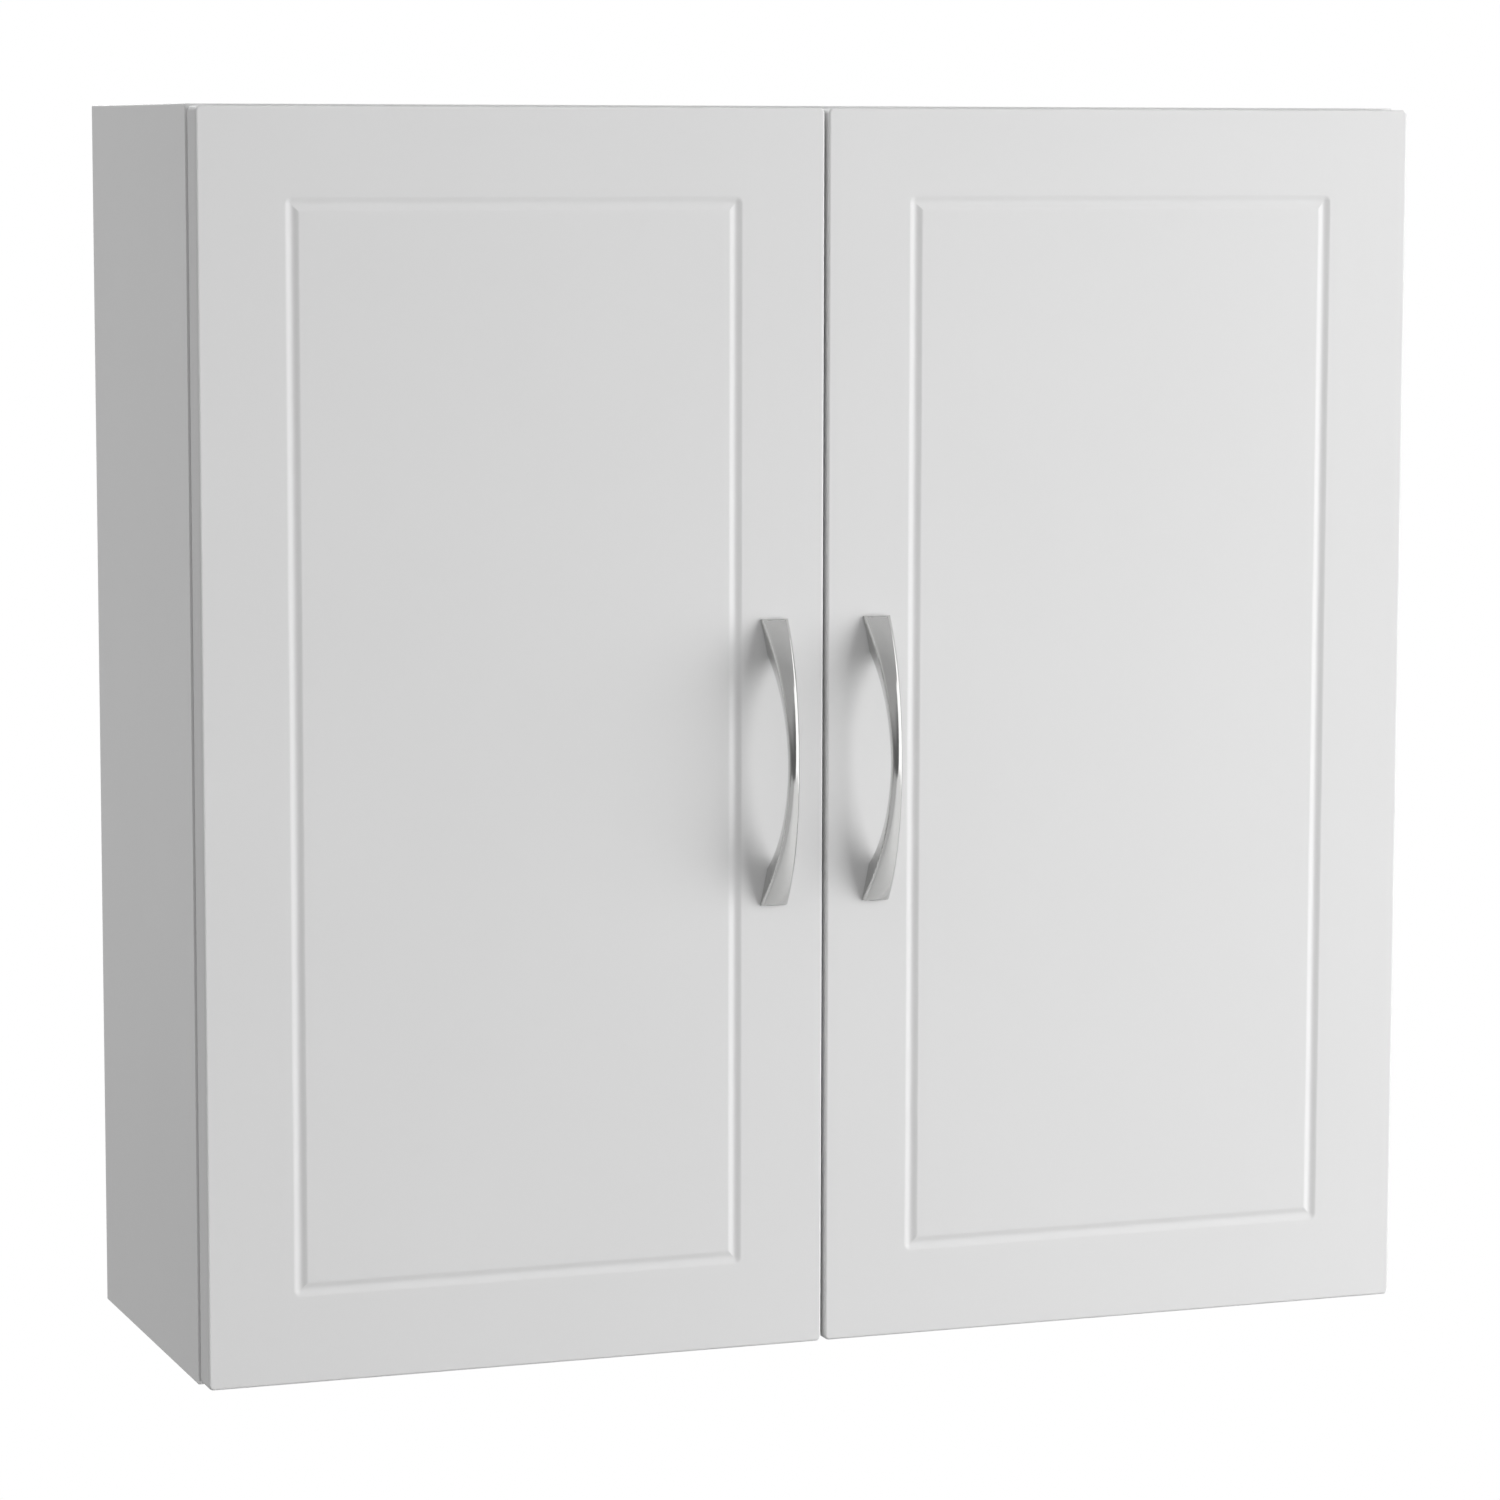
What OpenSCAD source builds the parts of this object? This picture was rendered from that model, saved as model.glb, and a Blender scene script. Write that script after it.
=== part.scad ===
// Hanging wall cabinet with two doors on single-pivot concealed cup hinges.
// X runs to the right seen from the front, Y towards the wall, Z up.
// The wall is the plane Y = 0. The origin is the centre of the four wall-screw holes there.

/* [Carcass] */
// Overall width of the cabinet
cabinet_width = 610; // [500:5:800]
// Overall height of the cabinet
cabinet_height = 594; // [560:2:700]
// Depth of the side panels, without the doors
carcass_depth = 190; // [170:5:300]
// Thickness of the melamine-faced boards
board = 15; // [15:1:18]
// Thickness of the hardboard back
back_thickness = 3; // [3:0.5:4]
// Height of the two hanging rails behind the back panel
rail_height = 76; // [60:1:100]
// Spacing of the wall-screw holes along the rails
wall_screw_spacing = 406.4; // [300:0.1:440]
// Diameter of the wall-screw holes
wall_screw_hole = 5.5; // [5:0.1:6]

/* [Shelves] */
// Height of the shelf pins above and below the middle
shelf_pin_height = 96; // [64:32:128]
// Front-to-back depth of a shelf
shelf_depth = 165; // [140:1:168]

/* [Doors] */
// Thickness of a door
door_thickness = 16; // [16:0.5:19]
// Gap between the carcass and a closed door
door_gap = 2; // [2:0.1:2.5]
// Gap between the two doors
centre_gap = 2; // [2:0.2:4]
// Distance of the door edges from the carcass outline
door_inset = 1; // [0.5:0.5:2]
// Rounding of the front edges of a door
door_edge_r = 1.2; // [1:0.2:3]
// Distance of the groove frame from the door edges
groove_inset = 44.5; // [42:0.5:60]
// Width of the groove at the surface
groove_width = 7.4; // [6:0.1:9]
// Depth of the groove
groove_depth = 0.95; // [0.6:0.05:1.4]

/* [Hinges] */
// Height of the hinges above and below the middle
hinge_height = 208; // [176:32:240]
// Diameter of the hinge cup
cup_diameter = 35; // [34.8:0.1:35.2]
// Depth of the hinge cup
cup_depth = 11.6; // [11.4:0.1:12]
// Diameter of the hinge pin
hinge_pin_diameter = 2.5; // [2.4:0.1:2.6]

/* [Handles] */
// Distance between the two screws of a handle
handle_spacing = 128; // [96:32:160]
// Overall length of a handle
handle_length = 137; // [134:0.5:170]
// Distance from the door to the outer face at mid-length
handle_projection = 30; // [27:0.5:36]
// Width of a handle at its feet
handle_foot_width = 13.6; // [11:0.2:16]
// Width of a handle at mid-length
handle_mid_width = 5.6; // [4.5:0.1:8]
// Height of a handle's centre
handle_height = -13; // [-120:1:120]
// Distance of a handle from the middle of the cabinet
handle_offset = 26; // [20:1:40]

/* [Hidden] */
$fn = 48;
eps = 0.01;
fit = 0.05;                // radial clearance of pins, screws and dowels in their holes
half_w = cabinet_width / 2;
half_h = cabinet_height / 2;
inner_half_w = half_w - board;
inner_half_h = half_h - board;
carcass_front = -carcass_depth;
door_back = carcass_front - door_gap;
door_front = door_back - door_thickness;

// Back panel, held in grooves of the four carcass boards in front of the rails
back_groove_depth = 5.5;
back_front = -board - back_thickness - 0.1;
wall_screw_z = inner_half_h - rail_height / 2;

// System holes: two rows of 5 mm holes at a 32 mm pitch in each side
row_pitch = 32;
row_front = carcass_front + 37;
row_rear = -58;
row_hole_r = 2.5;
row_hole_depth = 10;
row_steps = 4;

// Knock-down fittings
cam_r = 7.5;
cam_height = 12.4;
cam_reach = 34;
cam_bolt_r = 3;
dowel_r = 4;
dowel_length = 30;
joint_cam_y = [-155, -40];
joint_dowel_y = [-123, -72];
rail_cam_z = 20;

// Doors
door_outer = half_w - 0.5;
door_inner = centre_gap / 2;
door_half_h = half_h - door_inset;
door_back_r = 1.5;
door_corner_r = door_edge_r + 1.3;
groove_steps = 18;

// Hinge, in a local frame: x from the side panel's inner face into the cabinet,
// y from the carcass front towards the wall, z from the middle of the hinge
edge_x = -(door_outer - inner_half_w);
cup_wall = 0.8;
cup_r = cup_diameter / 2 - 0.1;
cup_edge = 3;
cup_x = edge_x + cup_edge + cup_diameter / 2;
cup_flange = 0.8;
cup_cheek = 2;
pivot = [-8, -10.5];
pin_r = hinge_pin_diameter / 2;
eye_r = 2;
neck_width = 8;
neck_thickness = 2.3;
neck_drop = 0.8;
neck_x = 3.3;
arm_web_x = 9.6;
arm_web = 1.8;
arm_width = 15.2;
arm_flange = 1.5;
arm_start = 9;
arm_end = 62;
plate_y = 37;
plate_base = 2.4;
ridge_width = 11.8;
ridge_top = 8.5;
clamp_screw_y = 53;
adjust_screw_y = 21;

// Magnetic catch under the top panel
catch_half_w = 42;
catch_z = 15;
catch_depth = 18;
magnet = [26, 12, 4.6];
pole_plate = 1.2;
strike = [38, 1.2, 13];
strike_x = 24;
strike_screw_x = 38.5;
magnet_x = 16;
catch_mid_z = inner_half_h - catch_z / 2;

// Handle: number of sections along the arch, thickness at mid-length, length of a foot on the
// door, what the flat ends cut off the arch, how fast the width grows towards the feet, slope
// of the crowned face beside its rounded edges, their radius, and the draft of the sides
handle_steps = 44;
handle_grip = 5;
handle_foot = 17.5;
handle_end_cut = 3.5;
handle_flare = 1.9;
handle_crown = 12;
handle_edge_r = 2.5;
handle_draft = 12;
handle_screw_reach = 4;

// ---- helpers ----

// A cylinder along Y from y = 0 to y = length (negative length runs forwards)
module rod_y(r, length) {
  rotate([length > 0 ? -90 : 90, 0, 0]) cylinder(r = r, h = abs(length));
}

// A cylinder along X from x = 0 to x = length
module rod_x(r, length) {
  rotate([0, length > 0 ? 90 : -90, 0]) cylinder(r = r, h = abs(length));
}

// A box between two opposite corners
module span(low, high) {
  translate(low) cube(high - low);
}

// Children on the left (-1) or right (+1) side of the cabinet, drawn as for the right side
module on_side(side) {
  mirror([side < 0 ? 1 : 0, 0, 0]) children();
}

// Children in the local frame of one hinge
module hinge_frame(side, level) {
  mirror([side > 0 ? 1 : 0, 0, 0])
    translate([-inner_half_w, carcass_front, level * hinge_height]) children();
}

// A strip of constant thickness along a 2D path, with round joints a hair fuller than the strip
module strip(path, thickness) {
  for (i = [0 : len(path) - 1]) translate(path[i]) circle(d = thickness + 0.06);
  for (i = [0 : len(path) - 2]) {
    leg = path[i + 1] - path[i];
    translate(path[i]) rotate(atan2(leg[1], leg[0]))
      translate([0, -thickness / 2]) square([norm(leg), thickness]);
  }
}

// Crosshead screw along +Z: the head's underside at z = 0, the shank below it
module screw(head_r, head_h, shank_r, length) {
  difference() {
    union() {
      cylinder(r = head_r, h = head_h);
      translate([0, 0, -length + shank_r]) cylinder(r = shank_r, h = length - shank_r + eps);
      translate([0, 0, -length]) cylinder(r1 = 0.3, r2 = shank_r, h = shank_r);
    }
    for (a = [0, 90]) rotate(a) translate([-head_r * 0.55, -head_r * 0.11, head_h * 0.45])
      cube([head_r * 1.1, head_r * 0.22, head_h]);
  }
}

// Straight hole for such a screw, from its head's underside down
module screw_hole(shank_r, length) {
  translate([0, 0, -length - 0.3]) cylinder(r = shank_r + fit, h = length + 0.3 + 0.5);
}

// ---- carcass ----

// Holes and grooves of a side panel, drawn on the right side
module side_machining() {
  // system holes for the shelf pins
  for (y = [row_front, row_rear], k = [-row_steps : row_steps])
    translate([inner_half_w - 1, y, k * row_pitch]) rod_x(row_hole_r, row_hole_depth + 1);
  // screw holes for the hinge mounting plates
  for (level = [-1, 1], s = [-1, 1])
    translate([inner_half_w - 1, carcass_front + plate_y, level * hinge_height + s * row_pitch / 2])
      rod_x(row_hole_r, 12);
  // groove for the back panel
  span([inner_half_w - 1, back_front - 0.1, -half_h + board - back_groove_depth],
       [inner_half_w + back_groove_depth, -board, half_h - board + back_groove_depth]);
  // cam-bolt and dowel holes of the top and bottom panels
  for (level = [-1, 1]) {
    z = level * (half_h - board / 2);
    for (y = joint_cam_y) translate([inner_half_w - 1, y, z]) rod_x(cam_bolt_r - 0.5 + fit, 11.2);
    for (y = joint_dowel_y) translate([inner_half_w - 1, y, z]) rod_x(dowel_r + fit, 11.2);
    // holes of the rails
    translate([inner_half_w - 1, -board / 2, level * (wall_screw_z + rail_cam_z)])
      rod_x(cam_bolt_r - 0.5 + fit, 11.2);
    translate([inner_half_w - 1, -board / 2, level * (wall_screw_z - rail_cam_z)])
      rod_x(dowel_r + fit, 11.2);
  }
}

module side_panel(side) {
  on_side(side) difference() {
    span([inner_half_w, carcass_front, -half_h], [half_w, 0, half_h]);
    side_machining();
  }
}

// Holes at both ends of a board that lies between the sides, at height 0
module end_machining(cams, dowels, cam_face) {
  for (side = [-1, 1]) on_side(side) {
    for (p = cams) {
      translate([inner_half_w + 1, p[0], p[1]]) rod_x(cam_bolt_r + fit, -cam_reach - 1);
      translate([inner_half_w - cam_reach, p[0], p[1]]) cam_bore(cam_face);
    }
    for (p = dowels)
      translate([inner_half_w + 1, p[0], p[1]]) rod_x(dowel_r + fit, -dowel_length / 2 - 6.2);
  }
}

// Blind bore for a cam lock, open towards +Z, -Z or +Y
module cam_bore(face) {
  turn = face == "up" ? [0, 0, 0] : face == "down" ? [180, 0, 0] : [-90, 0, 0];
  rotate(turn) translate([0, 0, board / 2 - cam_height - 0.2])
    cylinder(r = cam_r + fit, h = cam_height + 1);
}

module horizontal_panel(level) {
  translate([0, 0, level * (half_h - board / 2)]) difference() {
    span([-inner_half_w, carcass_front, -board / 2], [inner_half_w, 0, board / 2]);
    end_machining([for (y = joint_cam_y) [y, 0]], [for (y = joint_dowel_y) [y, 0]],
                  level > 0 ? "up" : "down");
    // groove for the back panel, on the inner face
    on_inner = level > 0 ? -board / 2 - 1 : board / 2 - back_groove_depth;
    translate([-half_w, back_front - 0.1, on_inner])
      cube([cabinet_width, back_thickness + 0.2, back_groove_depth + 1]);
    if (level > 0) for (s = [-1, 1])
      translate([s * (catch_half_w - 5), carcass_front + catch_depth / 2, -board / 2 - 0.5])
        cylinder(r = 1.5 + fit, h = 10.5);
  }
}

module wall_screw_holes(front, rear) {
  for (x = [-1, 1], z = [-1, 1])
    translate([x * wall_screw_spacing / 2, front, z * wall_screw_z])
      rod_y(wall_screw_hole / 2, rear - front);
}

module back_panel() {
  reach = back_groove_depth - 0.5;
  color("whitesmoke") difference() {
    span([-inner_half_w - reach, back_front, -inner_half_h - reach],
         [inner_half_w + reach, -board - 0.1, inner_half_h + reach]);
    wall_screw_holes(back_front - 1, 0);
  }
}

module hanging_rail(level) {
  color("wheat") difference() {
    span([-inner_half_w, -board, level * wall_screw_z - rail_height / 2],
         [inner_half_w, 0, level * wall_screw_z + rail_height / 2]);
    translate([0, 0, level * wall_screw_z])
      end_machining([[-board / 2, level * rail_cam_z]], [[-board / 2, -level * rail_cam_z]], "back");
    wall_screw_holes(-board - 1, 1);
  }
}

module shelf(level) {
  z = level * shelf_pin_height + row_hole_r;
  rear = back_front - 2;
  span([-inner_half_w + 1, rear - shelf_depth, z], [inner_half_w - 1, rear, z + board]);
}

// ---- small fittings of the carcass ----

// Spoon-shaped shelf support, pin towards +X
module shelf_pin() {
  rod_x(row_hole_r - fit, row_hole_depth - 1);
  difference() {
    union() {
      rod_x(4, -1.6);
      span([-11, -4.5, row_hole_r - 2.6], [0, 4.5, row_hole_r]);
    }
    // the shelf rests on the flat top
    span([-12, -5, row_hole_r], [1, 5, 5]);
    // cut corners of the spoon
    for (s = [-1, 1]) translate([-11, s * 4.5, -1]) rotate(45)
      translate([-1.6, -1.6, 0]) cube([3.2, 3.2, 6]);
  }
}

module shelf_pins() {
  color("silver") for (side = [-1, 1]) on_side(side)
    for (y = [row_front, row_rear], level = [-1, 1])
      translate([inner_half_w, y, level * shelf_pin_height]) shelf_pin();
}

// Places of the eccentric cams: point, turn of the cam's top
module at_cams() {
  for (side = [-1, 1]) on_side(side) {
    for (y = joint_cam_y, level = [-1, 1])
      translate([inner_half_w - cam_reach, y, level * (half_h - board / 2)])
        rotate([level > 0 ? 0 : 180, 0, 0]) children();
    for (level = [-1, 1])
      translate([inner_half_w - cam_reach, -board / 2, level * (wall_screw_z + rail_cam_z)])
        rotate([-90, 0, 0]) children();
  }
}

// Eccentric cam: a drum with a slot round its side for the bolt's head and a cross on top
module cam_lock() {
  top = board / 2 - 0.4;
  difference() {
    translate([0, 0, board / 2 - cam_height]) cylinder(r = cam_r, h = top - board / 2 + cam_height);
    translate([0, -5, -3.3]) cube([cam_r + 1, 10, 6.6]);
    translate([0, 0, -3.3]) cylinder(r = 5, h = 6.6);
    for (a = [0, 90]) rotate(a + 45) translate([-3.6, -0.7, top - 1.6]) cube([7.2, 1.4, 2]);
  }
}

module cam_locks() {
  color("gainsboro") at_cams() cam_lock();
}

// Cam bolt along +X: thread in the side panel, collar, neck and round head in the cam
module cam_bolt() {
  rod_x(cam_bolt_r - 0.5, 10);
  translate([-1, 0, 0]) rod_x(cam_bolt_r, 1);
  translate([-cam_reach + 3, 0, 0]) rod_x(2, cam_reach - 3);
  translate([-cam_reach + 1, 0, 0]) rod_x(3, 2.4);
}

module cam_bolts() {
  color("silver") at_cams() translate([cam_reach, 0, 0]) cam_bolt();
}

module dowels() {
  color("burlywood") for (side = [-1, 1], level = [-1, 1]) on_side(side) {
    for (y = joint_dowel_y)
      translate([inner_half_w + 10, y, level * (half_h - board / 2)]) rod_x(dowel_r, -dowel_length);
    translate([inner_half_w + 10, -board / 2, level * (wall_screw_z - rail_cam_z)])
      rod_x(dowel_r, -dowel_length);
  }
}

// ---- hinges ----

// Cruciform plate on the side panel, with a ridge that the arm slides over
module mounting_plate(side, level) {
  color("silver") hinge_frame(side, level) difference() {
    union() {
      translate([0, plate_y, 0]) rotate([0, 90, 0]) linear_extrude(plate_base) {
        for (s = [-1, 1]) translate([s * row_pitch / 2, 0]) circle(r = 6);
        square([row_pitch, 12], center = true);
        square([ridge_width, 46], center = true);
      }
      span([0, 15, -ridge_width / 2], [ridge_top, 59, ridge_width / 2]);
    }
    // lightening pocket between the two screws of the arm
    span([plate_base, 26, -ridge_width / 2 + 1.8], [ridge_top + 1, 47, ridge_width / 2 - 1.8]);
    for (s = [-1, 1]) translate([0, plate_y, s * row_pitch / 2]) {
      translate([-1, 0, 0]) rod_x(2.6, plate_base + 2);
    }
    translate([plate_base, clamp_screw_y, 0]) rod_x(2 + fit, ridge_top);
    translate([plate_base, adjust_screw_y, 0]) rod_x(2.5 + fit, ridge_top);
  }
}

// Formed arm: goose-necked front with the pin's eye, then a channel over the plate's ridge
module hinge_arm(side, level) {
  neck = [[pivot[0], pivot[1] - neck_drop], [neck_x, pivot[1] - neck_drop],
          [neck_x, -0.5], [arm_web_x, arm_start + 0.5], [arm_web_x, arm_start + 2]];
  color("silver") hinge_frame(side, level) difference() {
    union() {
      translate([0, 0, -neck_width / 2]) linear_extrude(neck_width) {
        translate(pivot) circle(r = eye_r);
        strip(neck, neck_thickness);
      }
      span([arm_web_x - arm_web / 2, arm_start, -arm_width / 2],
           [arm_web_x + arm_web / 2, arm_end, arm_width / 2]);
      for (s = [-1, 1]) translate([0, 0, s * (arm_width - arm_flange) / 2])
        span([plate_base + 0.6, arm_start + 6, -arm_flange / 2], [arm_web_x, arm_end, arm_flange / 2]);
    }
    translate([pivot[0], pivot[1], -neck_width]) cylinder(r = pin_r + fit, h = 2 * neck_width);
    // open slot of the clamp screw and hole of the adjusting screw
    translate([ridge_top - 0.5, 0, 0]) rotate([90, 0, 90]) linear_extrude(4) {
      translate([clamp_screw_y - 3, 0]) circle(r = 2.3);
      translate([clamp_screw_y - 3, -2.25]) square([arm_end, 4.5]);
      translate([adjust_screw_y, 0]) circle(r = 2.5 + fit);
    }
  }
}

// Outline of the cup's flange on the door: round rim with two wings, cut straight at the edge
module flange_outline() {
  intersection() {
    union() {
      circle(r = cup_r + 1.4);
      translate([3.5, 0]) square([13, 46], center = true);
      for (s = [-1, 1]) translate([3.5, s * 23]) circle(r = 6.5);
    }
    translate([-cup_r - 0.2 + cup_wall / 2, -40]) square([80, 80]);
  }
}

// Pressed cup with flange and two cheeks that hold the pin
module hinge_cup(side, level) {
  bottom = -door_gap - cup_depth;
  color("gainsboro") hinge_frame(side, level) difference() {
    union() {
      difference() {
        union() {
          translate([cup_x, bottom, 0]) rod_y(cup_r, cup_depth);
          translate([cup_x, -door_gap + cup_flange, 0]) rotate([90, 0, 0])
            linear_extrude(cup_flange) flange_outline();
        }
        translate([cup_x, bottom + cup_wall, 0]) rod_y(cup_r - cup_wall, cup_depth + 2);
      }
      intersection() {
        translate([cup_x, bottom, 0]) rod_y(cup_r - cup_wall / 2, cup_depth);
        for (s = [-1, 1])
          translate([0, 0, s * (neck_width / 2 + 0.4 + cup_cheek / 2) - cup_cheek / 2])
            linear_extrude(cup_cheek) {
              translate(pivot) circle(r = 3.4);
              translate([cup_x - cup_r, bottom]) square([pivot[0] - cup_x + cup_r + 3.4, 5]);
              translate([cup_x - cup_r, bottom]) square([pivot[0] - cup_x + cup_r, 7]);
            }
      }
    }
    translate([pivot[0], pivot[1], -6.6]) cylinder(r = pin_r, h = 13.2);
    for (s = [-1, 1]) translate([cup_x + 3.5, -door_gap - 1, s * 24]) rod_y(2, 3);
  }
}

module hinge_pin(side, level) {
  length = neck_width + 0.8 + 2 * cup_cheek;
  color("silver") hinge_frame(side, level)
    translate([pivot[0], pivot[1], -length / 2]) cylinder(r = pin_r, h = length);
}

module plate_screws() {
  color("silver") for (side = [-1, 1], level = [-1, 1], s = [-1, 1]) hinge_frame(side, level)
    translate([plate_base, plate_y, s * row_pitch / 2]) rotate([0, 90, 0]) screw(4.2, 2.2, 2.4, 12);
}

module arm_clamp_screws() {
  color("silver") for (side = [-1, 1], level = [-1, 1]) hinge_frame(side, level)
    translate([arm_web_x + arm_web / 2, clamp_screw_y, 0]) rotate([0, 90, 0]) screw(4.2, 2.4, 2, 7);
}

// Grub screws that set the arm's height over the plate
module arm_adjusting_screws() {
  color("silver") for (side = [-1, 1], level = [-1, 1]) hinge_frame(side, level)
    translate([plate_base + 1, adjust_screw_y, 0]) difference() {
      rod_x(2.5, arm_web_x + arm_web / 2 - plate_base - 0.4);
      for (a = [0, 90]) translate([arm_web_x + arm_web / 2 - plate_base - 1.4, 0, 0])
        rotate([a, 0, 0]) translate([0, -1.7, -0.35]) cube([2, 3.4, 0.7]);
    }
}

module cup_screws(side) {
  color("silver") for (level = [-1, 1], s = [-1, 1]) hinge_frame(side, level)
    translate([cup_x + 3.5, -door_gap + cup_flange, s * 24]) rotate([-90, 0, 0])
      screw(3.4, 0.8, 1.75, 11);
}

// ---- catch ----

module catch_body() {
  front = carcass_front;
  color("white") difference() {
    union() {
      span([-catch_half_w + 10, front, inner_half_h - catch_z],
           [catch_half_w - 10, front + catch_depth, inner_half_h]);
      span([-catch_half_w, front + 2, inner_half_h - 3.5],
           [catch_half_w, front + catch_depth - 2, inner_half_h]);
    }
    // two open pockets for the magnets and their pole plates
    for (s = [-1, 1]) translate([s * magnet_x, front - 1, catch_mid_z])
      span([-magnet[0] / 2 - fit, 0, -magnet[2] / 2 - pole_plate - 2 * fit],
           [magnet[0] / 2 + fit, magnet[1] + 1.1, magnet[2] / 2 + pole_plate + 2 * fit]);
    for (s = [-1, 1]) translate([s * (catch_half_w - 5), front + catch_depth / 2, inner_half_h - 5])
      cylinder(r = 1.8, h = 6);
  }
}

module catch_magnets() {
  color("dimgray") for (s = [-1, 1])
    translate([s * magnet_x, carcass_front, catch_mid_z])
      span([-magnet[0] / 2, 0, -magnet[2] / 2], [magnet[0] / 2, magnet[1], magnet[2] / 2]);
}

// Steel plates above and below each magnet, a little proud of the body
module catch_pole_plates() {
  color("silver") for (s = [-1, 1], t = [-1, 1])
    translate([s * magnet_x, carcass_front - 0.6, catch_mid_z
               + t * (magnet[2] / 2 + fit + pole_plate / 2)])
      span([-magnet[0] / 2, 0, -pole_plate / 2], [magnet[0] / 2, magnet[1] + 0.6, pole_plate / 2]);
}

module catch_screws() {
  color("silver") for (s = [-1, 1])
    translate([s * (catch_half_w - 5), carcass_front + catch_depth / 2, inner_half_h - 3.5])
      rotate([180, 0, 0]) screw(3.2, 1.6, 1.5, 13);
}

module strike_plate(side) {
  color("silver") on_side(side) translate([strike_x, door_back, catch_mid_z]) difference() {
    span([-strike[0] / 2, 0, -strike[2] / 2], [strike[0] / 2, strike[1], strike[2] / 2]);
    translate([strike_screw_x - strike_x, -1, 0]) rod_y(1.8, 4);
  }
}

module strike_screw(side) {
  color("silver") on_side(side)
    translate([strike_screw_x, door_back + strike[1], catch_mid_z])
      rotate([-90, 0, 0]) screw(3, 1.2, 1.5, 10);
}

// ---- doors ----

// Section of a board with two rounded front corners and two rounded rear corners; front at y = 0
module door_section(low, high, rear_r) {
  front_r = door_edge_r;
  difference() {
    translate([low, 0]) square([high - low, door_thickness]);
    for (c = [[low, 1], [high, -1]]) {
      translate([c[0], 0]) difference() {
        translate([c[1] > 0 ? -1 : -front_r, -1]) square([front_r + 1, front_r + 1]);
        translate([c[1] * front_r, front_r]) circle(r = front_r);
      }
      translate([c[0], door_thickness]) difference() {
        translate([c[1] > 0 ? -1 : -rear_r, -rear_r]) square([rear_r + 1, rear_r + 1]);
        translate([c[1] * rear_r, -rear_r]) circle(r = rear_r);
      }
    }
  }
}

// Section of the groove cutter: a soft dip, steepest halfway down each wall, below the surface y = 0
module groove_section() {
  half = groove_width / 2;
  dip = [for (i = [1 : groove_steps - 1])
    let (x = groove_width * i / groove_steps - half)
      [x, -groove_depth / 2 * (1 + cos(180 * x / half))]];
  // the first and last legs go on at the same slope to above the surface
  rise = -dip[0][1] * groove_steps / groove_width;
  polygon(concat([[-half - 1, 1], [-half - 1, rise]], dip, [[half + 1, rise], [half + 1, 1]]));
}

// One straight run of the groove along +X from the origin, cut into a surface that faces -Y
module groove_run(length) {
  rotate([180, -90, 0]) linear_extrude(length) groove_section();
}

// Round corner of the groove
module groove_corner() {
  rotate([90, 0, 0]) rotate_extrude() intersection() {
    groove_section();
    translate([0, -5]) square([20, 10]);
  }
}

module groove_frame(x0, x1, z0, z1) {
  for (z = [z0, z1]) translate([x0, 0, z]) groove_run(x1 - x0);
  for (x = [x0, x1]) translate([x, 0, z0]) rotate([0, -90, 0]) groove_run(z1 - z0);
  for (x = [x0, x1], z = [z0, z1]) translate([x, 0, z]) groove_corner();
}

// Everything drilled into a door from its back, drawn on the right side
module door_drilling() {
  for (level = [-1, 1]) translate([inner_half_w - cup_x, door_back, level * hinge_height]) {
    translate([0, 1, 0]) rod_y(cup_diameter / 2, -cup_depth - 1.2);
    for (s = [-1, 1]) translate([-3.5, 1, s * 24]) rod_y(1.75 + fit, -12.5);
  }
  for (s = [-1, 1]) translate([handle_offset, door_front - 1, handle_height + s * handle_spacing / 2])
    rod_y(2.5, door_thickness + 2);
  translate([strike_screw_x, door_back + 1, catch_mid_z]) rod_y(1.5 + fit, -11.5);
}

// What lies outside a rounded door corner, as seen at the +X +Z corner whose axis is the Y axis
module door_corner_cut() {
  r = door_corner_r;
  difference() {
    span([0, -1, 0], [r + 1, door_thickness + 1, r + 1]);
    rotate([-90, 0, 0]) rotate_extrude() intersection() {
      door_section(-r, r, door_back_r);
      translate([0, -1]) square([r + 1, door_thickness + 2]);
    }
  }
}

module door(side) {
  color("white") on_side(side) difference() {
    intersection() {
      translate([0, door_front, -door_half_h]) linear_extrude(2 * door_half_h)
        door_section(door_inner, door_outer, door_back_r);
      translate([0, door_front, 0]) rotate([90, 0, 90]) linear_extrude(half_w)
        mirror([1, -1]) door_section(-door_half_h, door_half_h, door_back_r);
    }
    for (x = [-1, 1], z = [-1, 1])
      translate([x > 0 ? door_outer - door_corner_r : door_inner + door_corner_r, door_front,
                 z * (door_half_h - door_corner_r)])
        mirror([x < 0 ? 1 : 0, 0, 0]) mirror([0, 0, z < 0 ? 1 : 0]) door_corner_cut();
    translate([0, door_front, 0])
      groove_frame(door_inner + groove_inset, door_outer - groove_inset,
                   -door_half_h + groove_inset, door_half_h - groove_inset);
    door_drilling();
  }
}

module bumpers(side) {
  color("lightgray") on_side(side) for (level = [-1, 1])
    translate([door_inner + 8, door_back, level * (half_h - board / 2)])
      rod_y(4, door_gap - 0.15);
}

// ---- handles ----

// Radius of an arc of rise h over a chord of half-length a
function arc_radius(a, h) = (a * a + h * h) / (2 * h);

// Width of the handle at height z
function handle_width(z) =
  handle_mid_width + (handle_foot_width - handle_mid_width)
    * pow(abs(z) / (handle_length / 2), handle_flare);

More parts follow.
